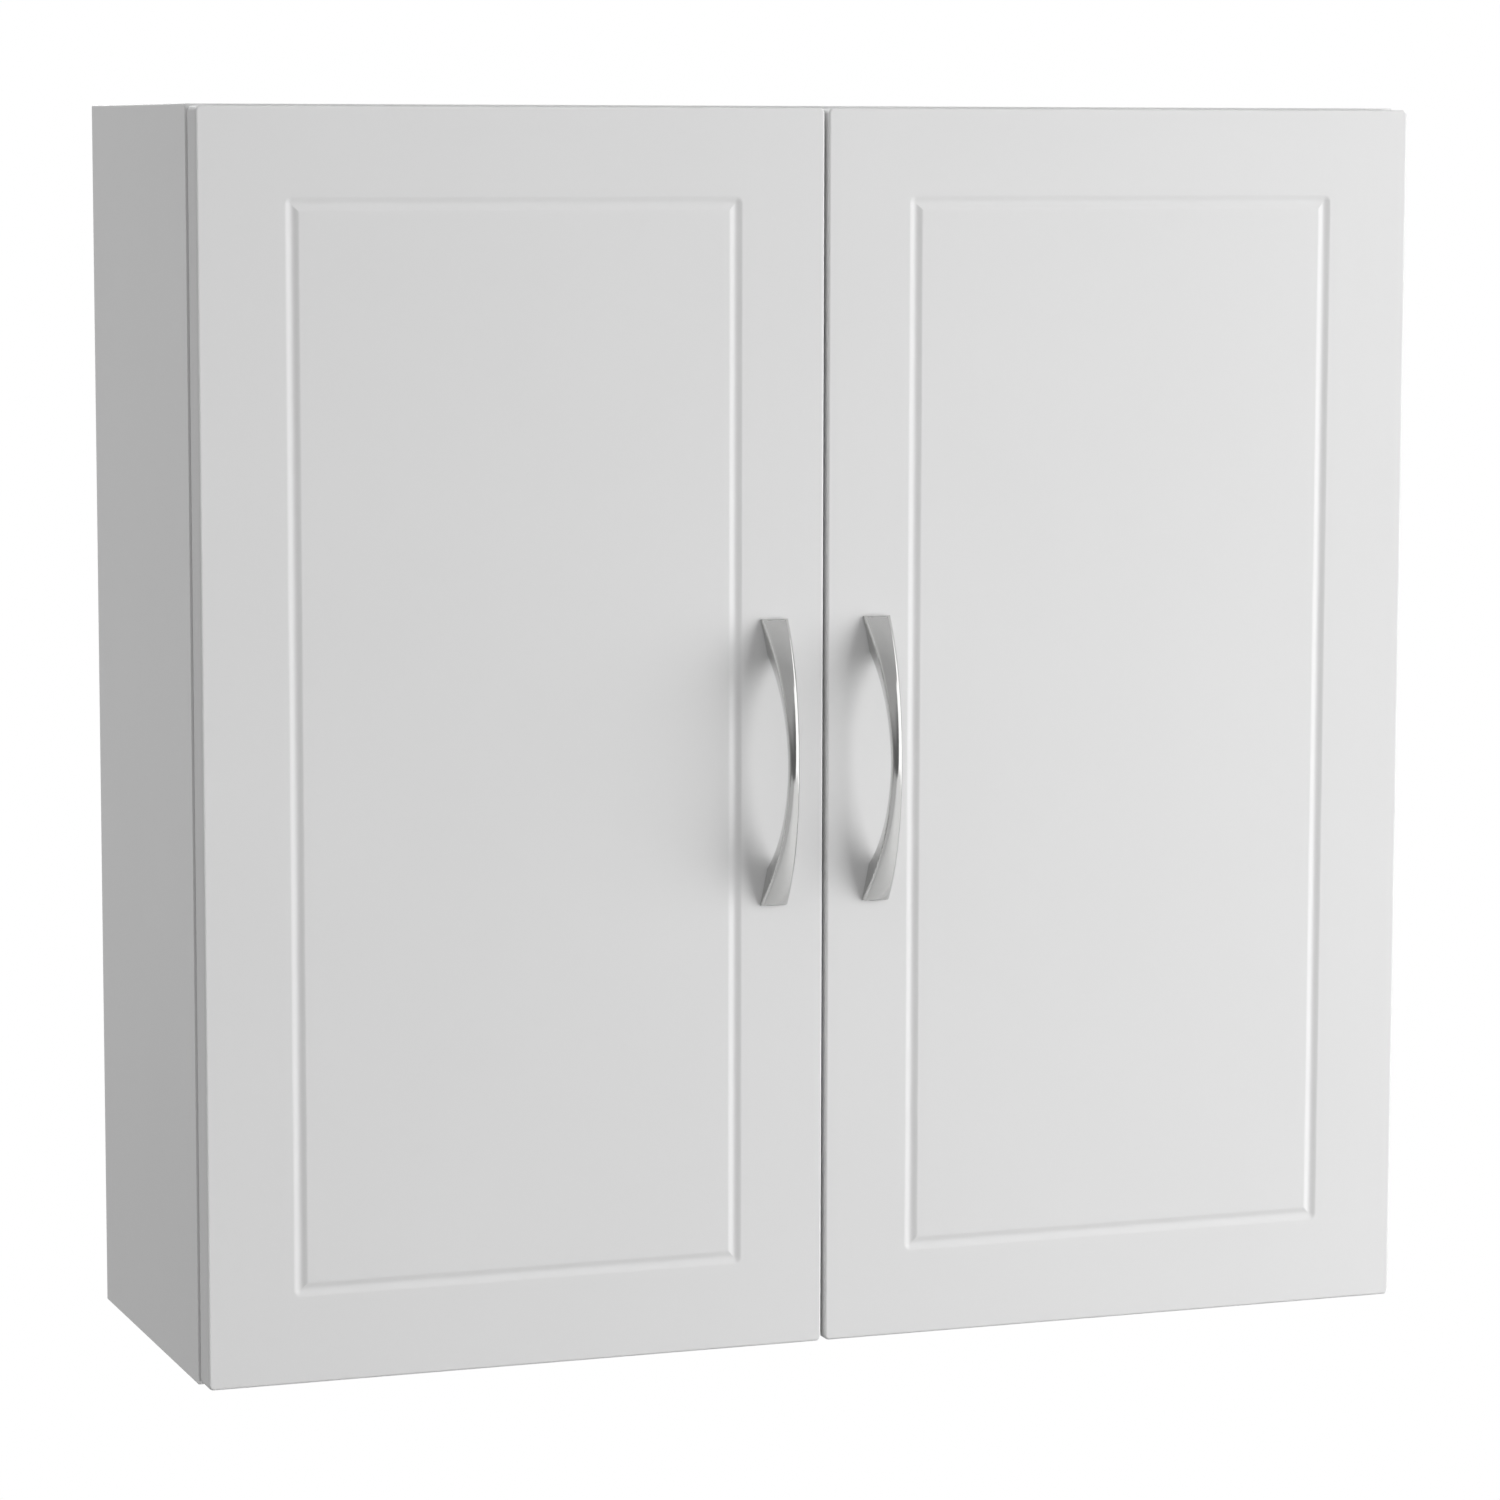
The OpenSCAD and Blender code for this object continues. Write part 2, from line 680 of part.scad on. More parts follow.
// Right half of the front of a section of half-width w, from its side to near its middle, each
// point as distance from the middle and depth behind the crest
function handle_front(w) =
  let (
    e = min(handle_edge_r, w - 0.2),
    k = handle_crown,
    r = (w - e + e * sin(k)) / sin(k),
    from = 90 - handle_draft
  )
  concat([for (i = [0 : 4]) let (a = from + (k - from) * i / 4)
            [w - e + e * sin(a), r * (1 - cos(k)) + e * (cos(k) - cos(a))]],
         [[r * sin(k / 2), r * (1 - cos(k / 2))]]);

// Section square to the front of the handle where that leans by the angle f
function handle_ring(f) =
  let (
    r = arc_radius(handle_length / 2 + handle_end_cut, handle_projection),
    back_r = arc_radius(handle_length / 2 - handle_foot, handle_projection - handle_grip),
    shift = r - back_r - handle_grip,
    thickness = r - shift * cos(f) - sqrt(back_r * back_r - pow(shift * sin(f), 2)),
    half = handle_front(handle_width(r * sin(f)) / 2),
    last = len(half) - 1,
    back = max(0.8, half[0][0] - (thickness - half[0][1]) * tan(handle_draft)),
    ring = concat([[-back, thickness], [back, thickness]], half, [[0, 0]],
                  [for (i = [last : -1 : 0]) [-half[i][0], half[i][1]]])
  )
  [for (p = ring)
    [p[0], r - handle_projection - (r - p[1]) * cos(f), (r - p[1]) * sin(f)]];

module handle_arch() {
  r = arc_radius(handle_length / 2 + handle_end_cut, handle_projection);
  // the last sections lie wholly behind the door's front, where the arch is cut off
  reach = acos((r - handle_projection - 4) / r);
  rings = [for (i = [0 : handle_steps]) handle_ring(reach * (2 * i / handle_steps - 1))];
  sides = len(rings[0]);
  points = [for (ring = rings, p = ring) p];
  walls = [for (i = [0 : handle_steps - 1], j = [0 : sides - 1])
    let (k = (j + 1) % sides)
      [i * sides + j, i * sides + k, (i + 1) * sides + k, (i + 1) * sides + j]];
  first = [for (j = [sides - 1 : -1 : 0]) j];
  last = [for (j = [0 : sides - 1]) handle_steps * sides + j];
  polyhedron(points, concat(walls, [first, last]), convexity = 4);
}

module handle(side) {
  color("silver") on_side(side) translate([handle_offset, door_front, handle_height]) difference() {
    intersection() {
      handle_arch();
      span([-handle_foot_width, -2 * handle_projection, -handle_length / 2],
           [handle_foot_width, 0, handle_length / 2]);
    }
    for (s = [-1, 1]) translate([0, 1, s * handle_spacing / 2])
      rod_y(2 + fit, -handle_screw_reach - 1.6);
  }
}

module handle_screws(side) {
  color("silver") on_side(side) for (s = [-1, 1])
    translate([handle_offset, door_back, handle_height + s * handle_spacing / 2])
      rotate([-90, 0, 0]) screw(4.2, 1.8, 2, door_thickness + handle_screw_reach);
}

// ---- nodes ----

color("white") side_panel(-1);  // left_side_panel
color("white") side_panel(1);  // right_side_panel
color("white") horizontal_panel(1);  // top_panel
color("white") horizontal_panel(-1);  // bottom_panel
back_panel();
hanging_rail(1);  // upper_rail
hanging_rail(-1);  // lower_rail
color("white") shelf(1);  // upper_shelf
color("white") shelf(-1);  // lower_shelf
shelf_pins();
cam_locks();
cam_bolts();
dowels();
mounting_plate(-1, 1);  // upper_left_mounting_plate
mounting_plate(-1, -1);  // lower_left_mounting_plate
mounting_plate(1, 1);  // upper_right_mounting_plate
mounting_plate(1, -1);  // lower_right_mounting_plate
hinge_arm(-1, 1);  // upper_left_hinge_arm
hinge_arm(-1, -1);  // lower_left_hinge_arm
hinge_arm(1, 1);  // upper_right_hinge_arm
hinge_arm(1, -1);  // lower_right_hinge_arm
hinge_cup(-1, 1);  // upper_left_hinge_cup
hinge_cup(-1, -1);  // lower_left_hinge_cup
hinge_cup(1, 1);  // upper_right_hinge_cup
hinge_cup(1, -1);  // lower_right_hinge_cup
hinge_pin(-1, 1);  // upper_left_hinge_pin
hinge_pin(-1, -1);  // lower_left_hinge_pin
hinge_pin(1, 1);  // upper_right_hinge_pin
hinge_pin(1, -1);  // lower_right_hinge_pin
plate_screws();
arm_clamp_screws();
arm_adjusting_screws();
cup_screws(-1);  // left_cup_screws
cup_screws(1);  // right_cup_screws
catch_body();
catch_magnets();
catch_pole_plates();
catch_screws();
strike_plate(-1);  // left_strike_plate
strike_plate(1);  // right_strike_plate
strike_screw(-1);  // left_strike_screw
strike_screw(1);  // right_strike_screw
door(-1);  // left_door
door(1);  // right_door
handle(-1);  // left_handle
handle(1);  // right_handle
handle_screws(-1);  // left_handle_screws
handle_screws(1);  // right_handle_screws
bumpers(-1);  // left_bumpers
bumpers(1);  // right_bumpers
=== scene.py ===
"""Hanging wall cabinet: finishes of its boards, doors, hinges and handles, with studio and camera."""

import math

import bmesh
import bpy
from mathutils import Matrix, Vector


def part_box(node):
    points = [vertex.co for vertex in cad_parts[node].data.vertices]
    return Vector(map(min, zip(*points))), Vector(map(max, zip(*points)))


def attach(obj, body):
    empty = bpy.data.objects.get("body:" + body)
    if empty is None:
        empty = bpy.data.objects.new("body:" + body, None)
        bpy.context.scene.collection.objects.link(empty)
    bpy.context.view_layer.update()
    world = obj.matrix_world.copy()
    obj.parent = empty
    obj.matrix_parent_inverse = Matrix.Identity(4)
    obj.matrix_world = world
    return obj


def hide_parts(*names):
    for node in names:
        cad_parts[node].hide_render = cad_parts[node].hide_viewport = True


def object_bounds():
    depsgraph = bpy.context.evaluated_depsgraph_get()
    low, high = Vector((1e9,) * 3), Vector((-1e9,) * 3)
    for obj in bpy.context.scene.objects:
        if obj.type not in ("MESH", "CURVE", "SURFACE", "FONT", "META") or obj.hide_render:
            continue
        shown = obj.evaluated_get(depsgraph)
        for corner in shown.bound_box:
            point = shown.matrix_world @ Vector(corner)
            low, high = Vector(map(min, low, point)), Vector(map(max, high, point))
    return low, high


bl_info = {
    "name": "Hanging wall cabinet",
    "version": (1, 0, 0),
    "blender": (4, 5, 0),
    "location": "View3D > Sidebar > Cabinet",
    "description": "Finishes the boards, doors, hinges and handles of a hanging wall cabinet",
    "category": "Object",
}

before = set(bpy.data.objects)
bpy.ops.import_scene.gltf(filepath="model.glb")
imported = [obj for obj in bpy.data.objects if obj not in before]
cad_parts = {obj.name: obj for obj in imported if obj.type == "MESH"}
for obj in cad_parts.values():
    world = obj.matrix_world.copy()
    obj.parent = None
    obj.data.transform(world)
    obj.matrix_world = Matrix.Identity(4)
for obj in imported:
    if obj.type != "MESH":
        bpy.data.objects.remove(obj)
CAD_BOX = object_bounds()
MM = 0.001
# most values of a noise texture lie between these two
NOISE_LOW, NOISE_HIGH = 0.3, 0.7


def linear(code):
    """Linear RGBA of an sRGB hex colour."""
    channels = [int(code[i : i + 2], 16) / 255 for i in (1, 3, 5)]
    return [c / 12.92 if c <= 0.04045 else ((c + 0.055) / 1.055) ** 2.4 for c in channels] + [1.0]


def colour(name, code, description):
    """A colour that a user may change."""
    return bpy.props.FloatVectorProperty(
        name=name, description=description, subtype="COLOR", size=4, min=0, max=1, default=linear(code)
    )


def length(name, millimetres, description):
    """A length that a user may change, kept in metres."""
    return bpy.props.FloatProperty(
        name=name, description=description, subtype="DISTANCE", unit="LENGTH", default=millimetres * MM
    )


# ---- settings ----


class CabinetBoardSettings(bpy.types.PropertyGroup):
    """Melamine-faced boards and the hardboard back."""

    skin: colour("Skin", "#EDEDED", "Paper skin of the melamine-faced boards")
    chip_dark: colour("Dark chips", "#8A6B47", "Darker wood chips in a cut edge")
    chip_light: colour("Light chips", "#C9AA7C", "Lighter wood chips in a cut edge")
    skin_thickness: length("Skin thickness", 0.3, "Depth at which the chips begin behind a face")
    band_thickness: length("Edge band", 0.6, "Depth at which the chips begin behind a banded edge")
    edge_radius: length("Edge radius", 0.4, "Rounding of the boards' edges")
    hardboard: colour("Hardboard", "#8B6A4A", "Bare rear face of the back panel")
    mesh_pitch: length("Screen pitch", 1.8, "Pitch of the wire screen pressed into the hardboard")


class CabinetDoorSettings(bpy.types.PropertyGroup):
    """Foil-wrapped fibreboard doors."""

    foil: colour("Foil", "#EEEEEE", "Satin foil that wraps the doors")
    peel: length("Peel", 1.6, "Size of the foil's soft unevenness")


class CabinetHandleSettings(bpy.types.PropertyGroup):
    """Arched handles."""

    length: length("Length", 137, "Overall length of a handle")
    projection: length("Projection", 30, "Distance from the door to the outer face at mid-length")
    foot_width: length("Foot width", 13.6, "Width at the feet")
    mid_width: length("Waist", 5.6, "Width at mid-length")
    grip: length("Grip", 5, "Thickness at mid-length")
    foot: length("Foot", 17.5, "Length of a foot on the door")
    end_cut: length("End cut", 3.5, "How much the flat ends take off the arch")
    flare: bpy.props.FloatProperty(
        name="Flare", description="How fast the width grows towards the feet, as a power", default=1.9, min=1
    )
    crown: bpy.props.FloatProperty(
        name="Crown",
        description="Slope of the crowned face beside its rounded edges",
        subtype="ANGLE",
        default=math.radians(12),
    )
    edge_radius: length("Edge radius", 2.5, "Rounding between the crowned face and the sides")
    draft: bpy.props.FloatProperty(
        name="Draft",
        description="Lean of the sides towards the back",
        subtype="ANGLE",
        default=math.radians(12),
    )
    corner: length("Corner radius", 0.35, "Rounding of the rear long edges")
    cut_edge: length("Cut edges", 0.3, "Rounding of the edges that the flat cuts leave")
    steps: bpy.props.IntProperty(name="Steps", description="Sections along the arch", default=120, min=20)
    nickel: colour("Nickel", "#CFCFCE", "Bright nickel plate")


class CabinetFittingSettings(bpy.types.PropertyGroup):
    """Hinges, fasteners and catch."""

    plated_steel: colour("Plated steel", "#CDCAC4", "Bright nickel plate of the hinges")
    zinc: colour("Zinc", "#B3B5B8", "Zinc plate and die-cast zinc of the fasteners")
    beech: colour("Beech", "#D6B284", "Dowels")
    plastic: colour("Plastic", "#EEEEEA", "Moulded body of the catch")
    ferrite: colour("Ferrite", "#303134", "Magnets of the catch")
    bumper: colour("Bumper", "#F1F3EF", "Clear door bumpers")
    edge_radius: length("Edge radius", 0.15, "Rounding of pressed and cast edges")


class CabinetStageSettings(bpy.types.PropertyGroup):
    """Floor, lamps, background and camera."""

    floor: colour("Floor", "#E2E2E2", "Painted floor")
    hanging_height: length("Hanging height", 1400, "Height of the cabinet's underside over the floor")
    ambient: bpy.props.FloatProperty(
        name="Ambient", description="Strength of the soft room light", default=0.556
    )
    key_power: bpy.props.FloatProperty(
        name="Key lamp", description="Power of the large lamp on the right", unit="POWER", default=83.21
    )
    rear_power: bpy.props.FloatProperty(
        name="Rear lamp", description="Power of the lamp behind the cabinet", unit="POWER", default=16
    )
    top_power: bpy.props.FloatProperty(
        name="Top lamp", description="Power of the lamp over the cabinet", unit="POWER", default=6
    )
    room_dark: bpy.props.FloatProperty(
        name="Lower wall", description="Brightness of the room's lower wall in reflections", default=0.15
    )
    room_middle: bpy.props.FloatProperty(
        name="Upper wall", description="Brightness of the room's upper wall in reflections", default=0.46
    )
    room_overhead: bpy.props.FloatProperty(
        name="Ceiling", description="Brightness of the ceiling in reflections", default=0.66
    )
    window: bpy.props.FloatProperty(
        name="Window", description="Brightness of the window on the right in reflections", default=1.7
    )
    lens: bpy.props.FloatProperty(name="Lens", description="Focal length in millimetres", default=123.17)
    camera: bpy.props.FloatVectorProperty(
        name="Camera",
        description="Place of the camera",
        subtype="TRANSLATION",
        default=(-0.8638, -2.4829, 0.2802),
    )
    yaw: bpy.props.FloatProperty(
        name="Yaw",
        description="Turn of the camera towards the right",
        subtype="ANGLE",
        default=math.radians(19.95),
    )
    pitch: bpy.props.FloatProperty(
        name="Pitch",
        description="Tilt of the camera, negative downwards",
        subtype="ANGLE",
        default=math.radians(-6.76),
    )
    roll: bpy.props.FloatProperty(
        name="Roll", description="Turn about the line of sight", subtype="ANGLE", default=math.radians(0.105)
    )


# ---- materials ----


def new_material(name):
    """A material that holds one shader joined to its output: (material, node tree, shader)."""
    made = bpy.data.materials.new(name)
    made.use_nodes = True
    tree = made.node_tree
    tree.nodes.clear()
    shader = add(tree, "ShaderNodeBsdfPrincipled")
    add(tree, "ShaderNodeOutputMaterial", links={"Surface": shader.outputs["BSDF"]})
    return made, tree, shader


def add(tree, kind, settings=None, values=None, links=None):
    """Adds one node with its settings, its sockets' values and the links into it."""
    made = tree.nodes.new(kind)
    for name, value in (settings or {}).items():
        setattr(made, name, value)
    for socket, value in (values or {}).items():
        made.inputs[socket].default_value = value
    for socket, source in (links or {}).items():
        tree.links.new(source, made.inputs[socket])
    return made


def tint(rgba, factor):
    """The same colour, lighter or darker."""
    return [min(1.0, c * factor) for c in rgba[:3]] + [1.0]


def satin_foil(name):
    """PVC foil pressed over fibreboard: even satin white, whose soft orange peel breaks up highlights."""
    look = bpy.context.scene.cabinet_doors
    made, tree, shader = new_material(name)
    place = add(tree, "ShaderNodeTexCoord").outputs["Object"]
    # foil stretches a little over the board, so the tone drifts by under two per cent over a hand's width
    drift = add(
        tree, "ShaderNodeTexNoise", values={"Scale": 1 / (90 * MM), "Detail": 2.0}, links={"Vector": place}
    )
    body = add(
        tree,
        "ShaderNodeMix",
        {"data_type": "RGBA"},
        {"A": tint(look.foil, 0.985), "B": tint(look.foil, 1.01)},
        {"Factor": drift.outputs["Fac"]},
    )
    # peel in the press-formed foil
    peel = add(
        tree, "ShaderNodeTexNoise", values={"Scale": 1 / look.peel, "Detail": 3.0}, links={"Vector": place}
    )
    gloss = add(
        tree,
        "ShaderNodeMapRange",
        values={"From Min": NOISE_LOW, "From Max": NOISE_HIGH, "To Min": 0.52, "To Max": 0.6},
        links={"Value": peel.outputs["Fac"]},
    )
    bump = add(
        tree,
        "ShaderNodeBump",
        values={"Strength": 0.25, "Distance": 0.05 * MM},
        links={"Height": peel.outputs["Fac"]},
    )
    tree.links.new(body.outputs[2], shader.inputs["Base Color"])
    tree.links.new(gloss.outputs["Result"], shader.inputs["Roughness"])
    tree.links.new(bump.outputs["Normal"], shader.inputs["Normal"])
    shader.inputs["IOR"].default_value = 1.5
    shader.inputs["Specular IOR Level"].default_value = 0.2
    return made


def within(tree, axis_value, low, high):
    """1 between two coordinates and 0 outside them."""
    above = add(tree, "ShaderNodeMath", {"operation": "GREATER_THAN"}, {1: low}, {0: axis_value})
    below = add(tree, "ShaderNodeMath", {"operation": "LESS_THAN"}, {1: high}, {0: axis_value})
    both = add(
        tree, "ShaderNodeMath", {"operation": "MULTIPLY"}, links={0: above.outputs[0], 1: below.outputs[0]}
    )
    return both.outputs[0]


def melamine_board(node, thickness_axis, banded_axes):
    """Melamine-faced chipboard: satin paper skin, plastic band on shown edges, bare chips in every cut."""
    look = bpy.context.scene.cabinet_boards
    low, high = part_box(node)
    made, tree, shader = new_material("melamine_board_" + node)
    place = add(tree, "ShaderNodeTexCoord").outputs["Object"]
    axes = add(tree, "ShaderNodeSeparateXYZ", links={"Vector": place}).outputs
    # chips show deeper than the skin, except behind a banded edge
    core = within(
        tree,
        axes[thickness_axis],
        low[thickness_axis] + look.skin_thickness,
        high[thickness_axis] - look.skin_thickness,
    )
    for axis, band_low, band_high in banded_axes:
        start = low[axis] + look.band_thickness if band_low else low[axis] - 1
        end = high[axis] - look.band_thickness if band_high else high[axis] + 1
        core = add(
            tree,
            "ShaderNodeMath",
            {"operation": "MULTIPLY"},
            links={0: core, 1: within(tree, axes[axis], start, end)},
        ).outputs[0]
    # pressed chips of two to three millimetres
    chips = add(tree, "ShaderNodeTexVoronoi", values={"Scale": 1 / (2.4 * MM)}, links={"Vector": place})
    shade = add(tree, "ShaderNodeSeparateColor", links={"Color": chips.outputs["Color"]})
    wood = add(
        tree,
        "ShaderNodeMix",
        {"data_type": "RGBA"},
        {"A": look.chip_dark[:], "B": look.chip_light[:]},
        {"Factor": shade.outputs[0]},
    )
    # the paper's print wanders in tone by about one per cent
    drift = add(
        tree, "ShaderNodeTexNoise", values={"Scale": 1 / (70 * MM), "Detail": 2.0}, links={"Vector": place}
    )
    paper = add(
        tree,
        "ShaderNodeMix",
        {"data_type": "RGBA"},
        {"A": tint(look.skin, 0.985), "B": tint(look.skin, 1.01)},
        {"Factor": drift.outputs["Fac"]},
    )
    body = add(
        tree,
        "ShaderNodeMix",
        {"data_type": "RGBA"},
        links={"Factor": core, "A": paper.outputs[2], "B": wood.outputs[2]},
    )
    # the press plate's pearl texture is about half a millimetre; drawn at 1.3 mm so that it shows
    pearl = add(
        tree, "ShaderNodeTexNoise", values={"Scale": 1 / (1.3 * MM), "Detail": 2.0}, links={"Vector": place}
    )
    gloss = add(
        tree,
        "ShaderNodeMapRange",
        values={"From Min": NOISE_LOW, "From Max": NOISE_HIGH, "To Min": 0.4, "To Max": 0.5},
        links={"Value": pearl.outputs["Fac"]},
    )
    rough = add(
        tree,
        "ShaderNodeMix",
        {"data_type": "FLOAT"},
        {"B": 0.9},
        {"Factor": core, "A": gloss.outputs["Result"]},
    )
    skin_bump = add(
        tree,
        "ShaderNodeBump",
        values={"Strength": 0.3, "Distance": 0.04 * MM},
        links={"Height": pearl.outputs["Fac"]},
    )
    chip_height = add(
        tree, "ShaderNodeMath", {"operation": "MULTIPLY"}, links={0: chips.outputs["Distance"], 1: core}
    )
    bump = add(
        tree,
        "ShaderNodeBump",
        values={"Strength": 0.6, "Distance": 0.4 * MM},
        links={"Height": chip_height.outputs[0], "Normal": skin_bump.outputs["Normal"]},
    )
    tree.links.new(body.outputs[2], shader.inputs["Base Color"])
    tree.links.new(rough.outputs[0], shader.inputs["Roughness"])
    tree.links.new(bump.outputs["Normal"], shader.inputs["Normal"])
    shader.inputs["IOR"].default_value = 1.5
    return made


def hardboard(name):
    """Wet-process hardboard: white paint inside, bare brown fibre with a wire screen's print behind."""
    look = bpy.context.scene.cabinet_boards
    low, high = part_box("back_panel")
    made, tree, shader = new_material(name)
    place = add(tree, "ShaderNodeTexCoord").outputs["Object"]
    axes = add(tree, "ShaderNodeSeparateXYZ", links={"Vector": place}).outputs
    paint_ends = low.y + 0.1 * MM
    behind = add(tree, "ShaderNodeMath", {"operation": "GREATER_THAN"}, {1: paint_ends}, {0: axes[1]})
    bare = behind.outputs[0]
    # fibres pressed flat: short specks a few millimetres long
    speck = add(
        tree, "ShaderNodeTexNoise", values={"Scale": 1 / (3 * MM), "Detail": 6.0}, links={"Vector": place}
    )
    fibre = add(
        tree,
        "ShaderNodeMix",
        {"data_type": "RGBA"},
        {"A": tint(look.hardboard, 0.6), "B": tint(look.hardboard, 1.35)},
        {"Factor": speck.outputs["Fac"]},
    )
    body = add(
        tree,
        "ShaderNodeMix",
        {"data_type": "RGBA"},
        {"A": look.skin[:]},
        {"Factor": bare, "B": fibre.outputs[2]},
    )
    # the screen's print: two crossed sets of ridges; a wave texture turns by its scale times 20 a metre
    turns = 20
    ridges = []
    for direction in ("X", "Z"):
        wave = add(
            tree,
            "ShaderNodeTexWave",
            {"bands_direction": direction},
            {"Scale": 1 / (look.mesh_pitch * turns) * math.tau, "Distortion": 0.4},
            {"Vector": place},
        )
        ridges.append(wave.outputs["Fac"])
    screen = add(tree, "ShaderNodeMath", {"operation": "MULTIPLY"}, links={0: ridges[0], 1: ridges[1]})
    printed = add(tree, "ShaderNodeMath", {"operation": "MULTIPLY"}, links={0: screen.outputs[0], 1: bare})
    bump = add(
        tree,
        "ShaderNodeBump",
        values={"Strength": 0.5, "Distance": 0.2 * MM},
        links={"Height": printed.outputs[0]},
    )
    rough = add(
        tree, "ShaderNodeMapRange", values={"To Min": 0.45, "To Max": 0.8}, links={"Value": bare}
    )
    tree.links.new(body.outputs[2], shader.inputs["Base Color"])
    tree.links.new(rough.outputs["Result"], shader.inputs["Roughness"])
    tree.links.new(bump.outputs["Normal"], shader.inputs["Normal"])
    shader.inputs["IOR"].default_value = 1.5
    return made


def bright_nickel(name):
    """Bright nickel over polished die-cast zinc: clear, slightly wavering reflections, a trace of haze."""
    look = bpy.context.scene.cabinet_handles
    made, tree, shader = new_material(name)
    place = add(tree, "ShaderNodeTexCoord").outputs["Object"]
    # haze in patches of about four millimetres, where the polishing wheel lay on longer
    haze = add(
        tree, "ShaderNodeTexNoise", values={"Scale": 1 / (4 * MM), "Detail": 4.0}, links={"Vector": place}
    )
    body = add(
        tree,
        "ShaderNodeMix",
        {"data_type": "RGBA"},
        {"A": tint(look.nickel, 0.97), "B": tint(look.nickel, 1.03)},
        {"Factor": haze.outputs["Fac"]},
    )
    gloss = add(
        tree,
        "ShaderNodeMapRange",
        values={"From Min": NOISE_LOW, "From Max": NOISE_HIGH, "To Min": 0.1, "To Max": 0.15},
        links={"Value": haze.outputs["Fac"]},
    )
    bump = add(
        tree,
        "ShaderNodeBump",
        values={"Strength": 0.1, "Distance": 0.05 * MM},
        links={"Height": haze.outputs["Fac"]},
    )
    tree.links.new(body.outputs[2], shader.inputs["Base Color"])
    tree.links.new(gloss.outputs["Result"], shader.inputs["Roughness"])
    tree.links.new(bump.outputs["Normal"], shader.inputs["Normal"])
    shader.inputs["Metallic"].default_value = 1.0
    return made


def nickel_plated_steel(name):
    """Pressed steel strip, barrel-plated with bright nickel: clear reflections, faint tumbling marks."""
    look = bpy.context.scene.cabinet_fittings
    made, tree, shader = new_material(name)
    place = add(tree, "ShaderNodeTexCoord").outputs["Object"]
    # tumbling marks are finer than half a millimetre; drawn at 1.5 mm so that they show
    marks = add(
        tree, "ShaderNodeTexNoise", values={"Scale": 1 / (1.5 * MM), "Detail": 5.0}, links={"Vector": place}
    )
    body = add(
        tree,
        "ShaderNodeMix",
        {"data_type": "RGBA"},
        {"A": tint(look.plated_steel, 0.9), "B": tint(look.plated_steel, 1.06)},
        {"Factor": marks.outputs["Fac"]},
    )
    gloss = add(
        tree,
        "ShaderNodeMapRange",
        values={"From Min": 0.35, "From Max": 0.7, "To Min": 0.14, "To Max": 0.28},
        links={"Value": marks.outputs["Fac"]},
    )
    bump = add(
        tree,
        "ShaderNodeBump",
        values={"Strength": 0.1, "Distance": 0.05 * MM},
        links={"Height": marks.outputs["Fac"]},
    )
    tree.links.new(body.outputs[2], shader.inputs["Base Color"])
    tree.links.new(gloss.outputs["Result"], shader.inputs["Roughness"])
    tree.links.new(bump.outputs["Normal"], shader.inputs["Normal"])
    shader.inputs["Metallic"].default_value = 1.0
    return made


def zinc_plate(name):
    """Bright zinc on screws and die-cast cams: bluish grey, duller than nickel, with a crystal mottle."""
    look = bpy.context.scene.cabinet_fittings
    made, tree, shader = new_material(name)
    place = add(tree, "ShaderNodeTexCoord").outputs["Object"]
    # zinc crystals are finer than a third of a millimetre; drawn at 0.9 mm so that they show
    crystals = add(tree, "ShaderNodeTexVoronoi", values={"Scale": 1 / (0.9 * MM)}, links={"Vector": place})
    shade = add(tree, "ShaderNodeSeparateColor", links={"Color": crystals.outputs["Color"]})
    body = add(
        tree,
        "ShaderNodeMix",
        {"data_type": "RGBA"},
        {"A": tint(look.zinc, 0.86), "B": tint(look.zinc, 1.08)},
        {"Factor": shade.outputs[0]},
    )
    gloss = add(
        tree, "ShaderNodeMapRange", values={"To Min": 0.32, "To Max": 0.48}, links={"Value": shade.outputs[1]}
    )
    tree.links.new(body.outputs[2], shader.inputs["Base Color"])
    tree.links.new(gloss.outputs["Result"], shader.inputs["Roughness"])
    shader.inputs["Metallic"].default_value = 1.0
    return made


def turned_beech(name):
    """Fluted beech dowel stock: pale pinkish wood, short dark flecks along the grain."""
    look = bpy.context.scene.cabinet_fittings
    made, tree, shader = new_material(name)
    place = add(tree, "ShaderNodeTexCoord").outputs["Object"]
    # flecks about 0.6 mm wide and 5 mm long
    along = add(
        tree,
        "ShaderNodeMapping",
        values={"Scale": (1 / (5 * MM), 1 / (0.6 * MM), 1 / (0.6 * MM))},
        links={"Vector": place},
    )
    grain = add(
        tree,
        "ShaderNodeTexNoise",
        values={"Scale": 1.0, "Detail": 4.0},
        links={"Vector": along.outputs["Vector"]},
    )
    body = add(
        tree,
        "ShaderNodeMix",
        {"data_type": "RGBA"},
        {"A": tint(look.beech, 0.7), "B": tint(look.beech, 1.1)},
        {"Factor": grain.outputs["Fac"]},
    )
    bump = add(
        tree,
        "ShaderNodeBump",
        values={"Strength": 0.4, "Distance": 0.1 * MM},
        links={"Height": grain.outputs["Fac"]},
    )
    tree.links.new(body.outputs[2], shader.inputs["Base Color"])
    tree.links.new(bump.outputs["Normal"], shader.inputs["Normal"])
    shader.inputs["Roughness"].default_value = 0.6
    shader.inputs["IOR"].default_value = 1.5
    return made


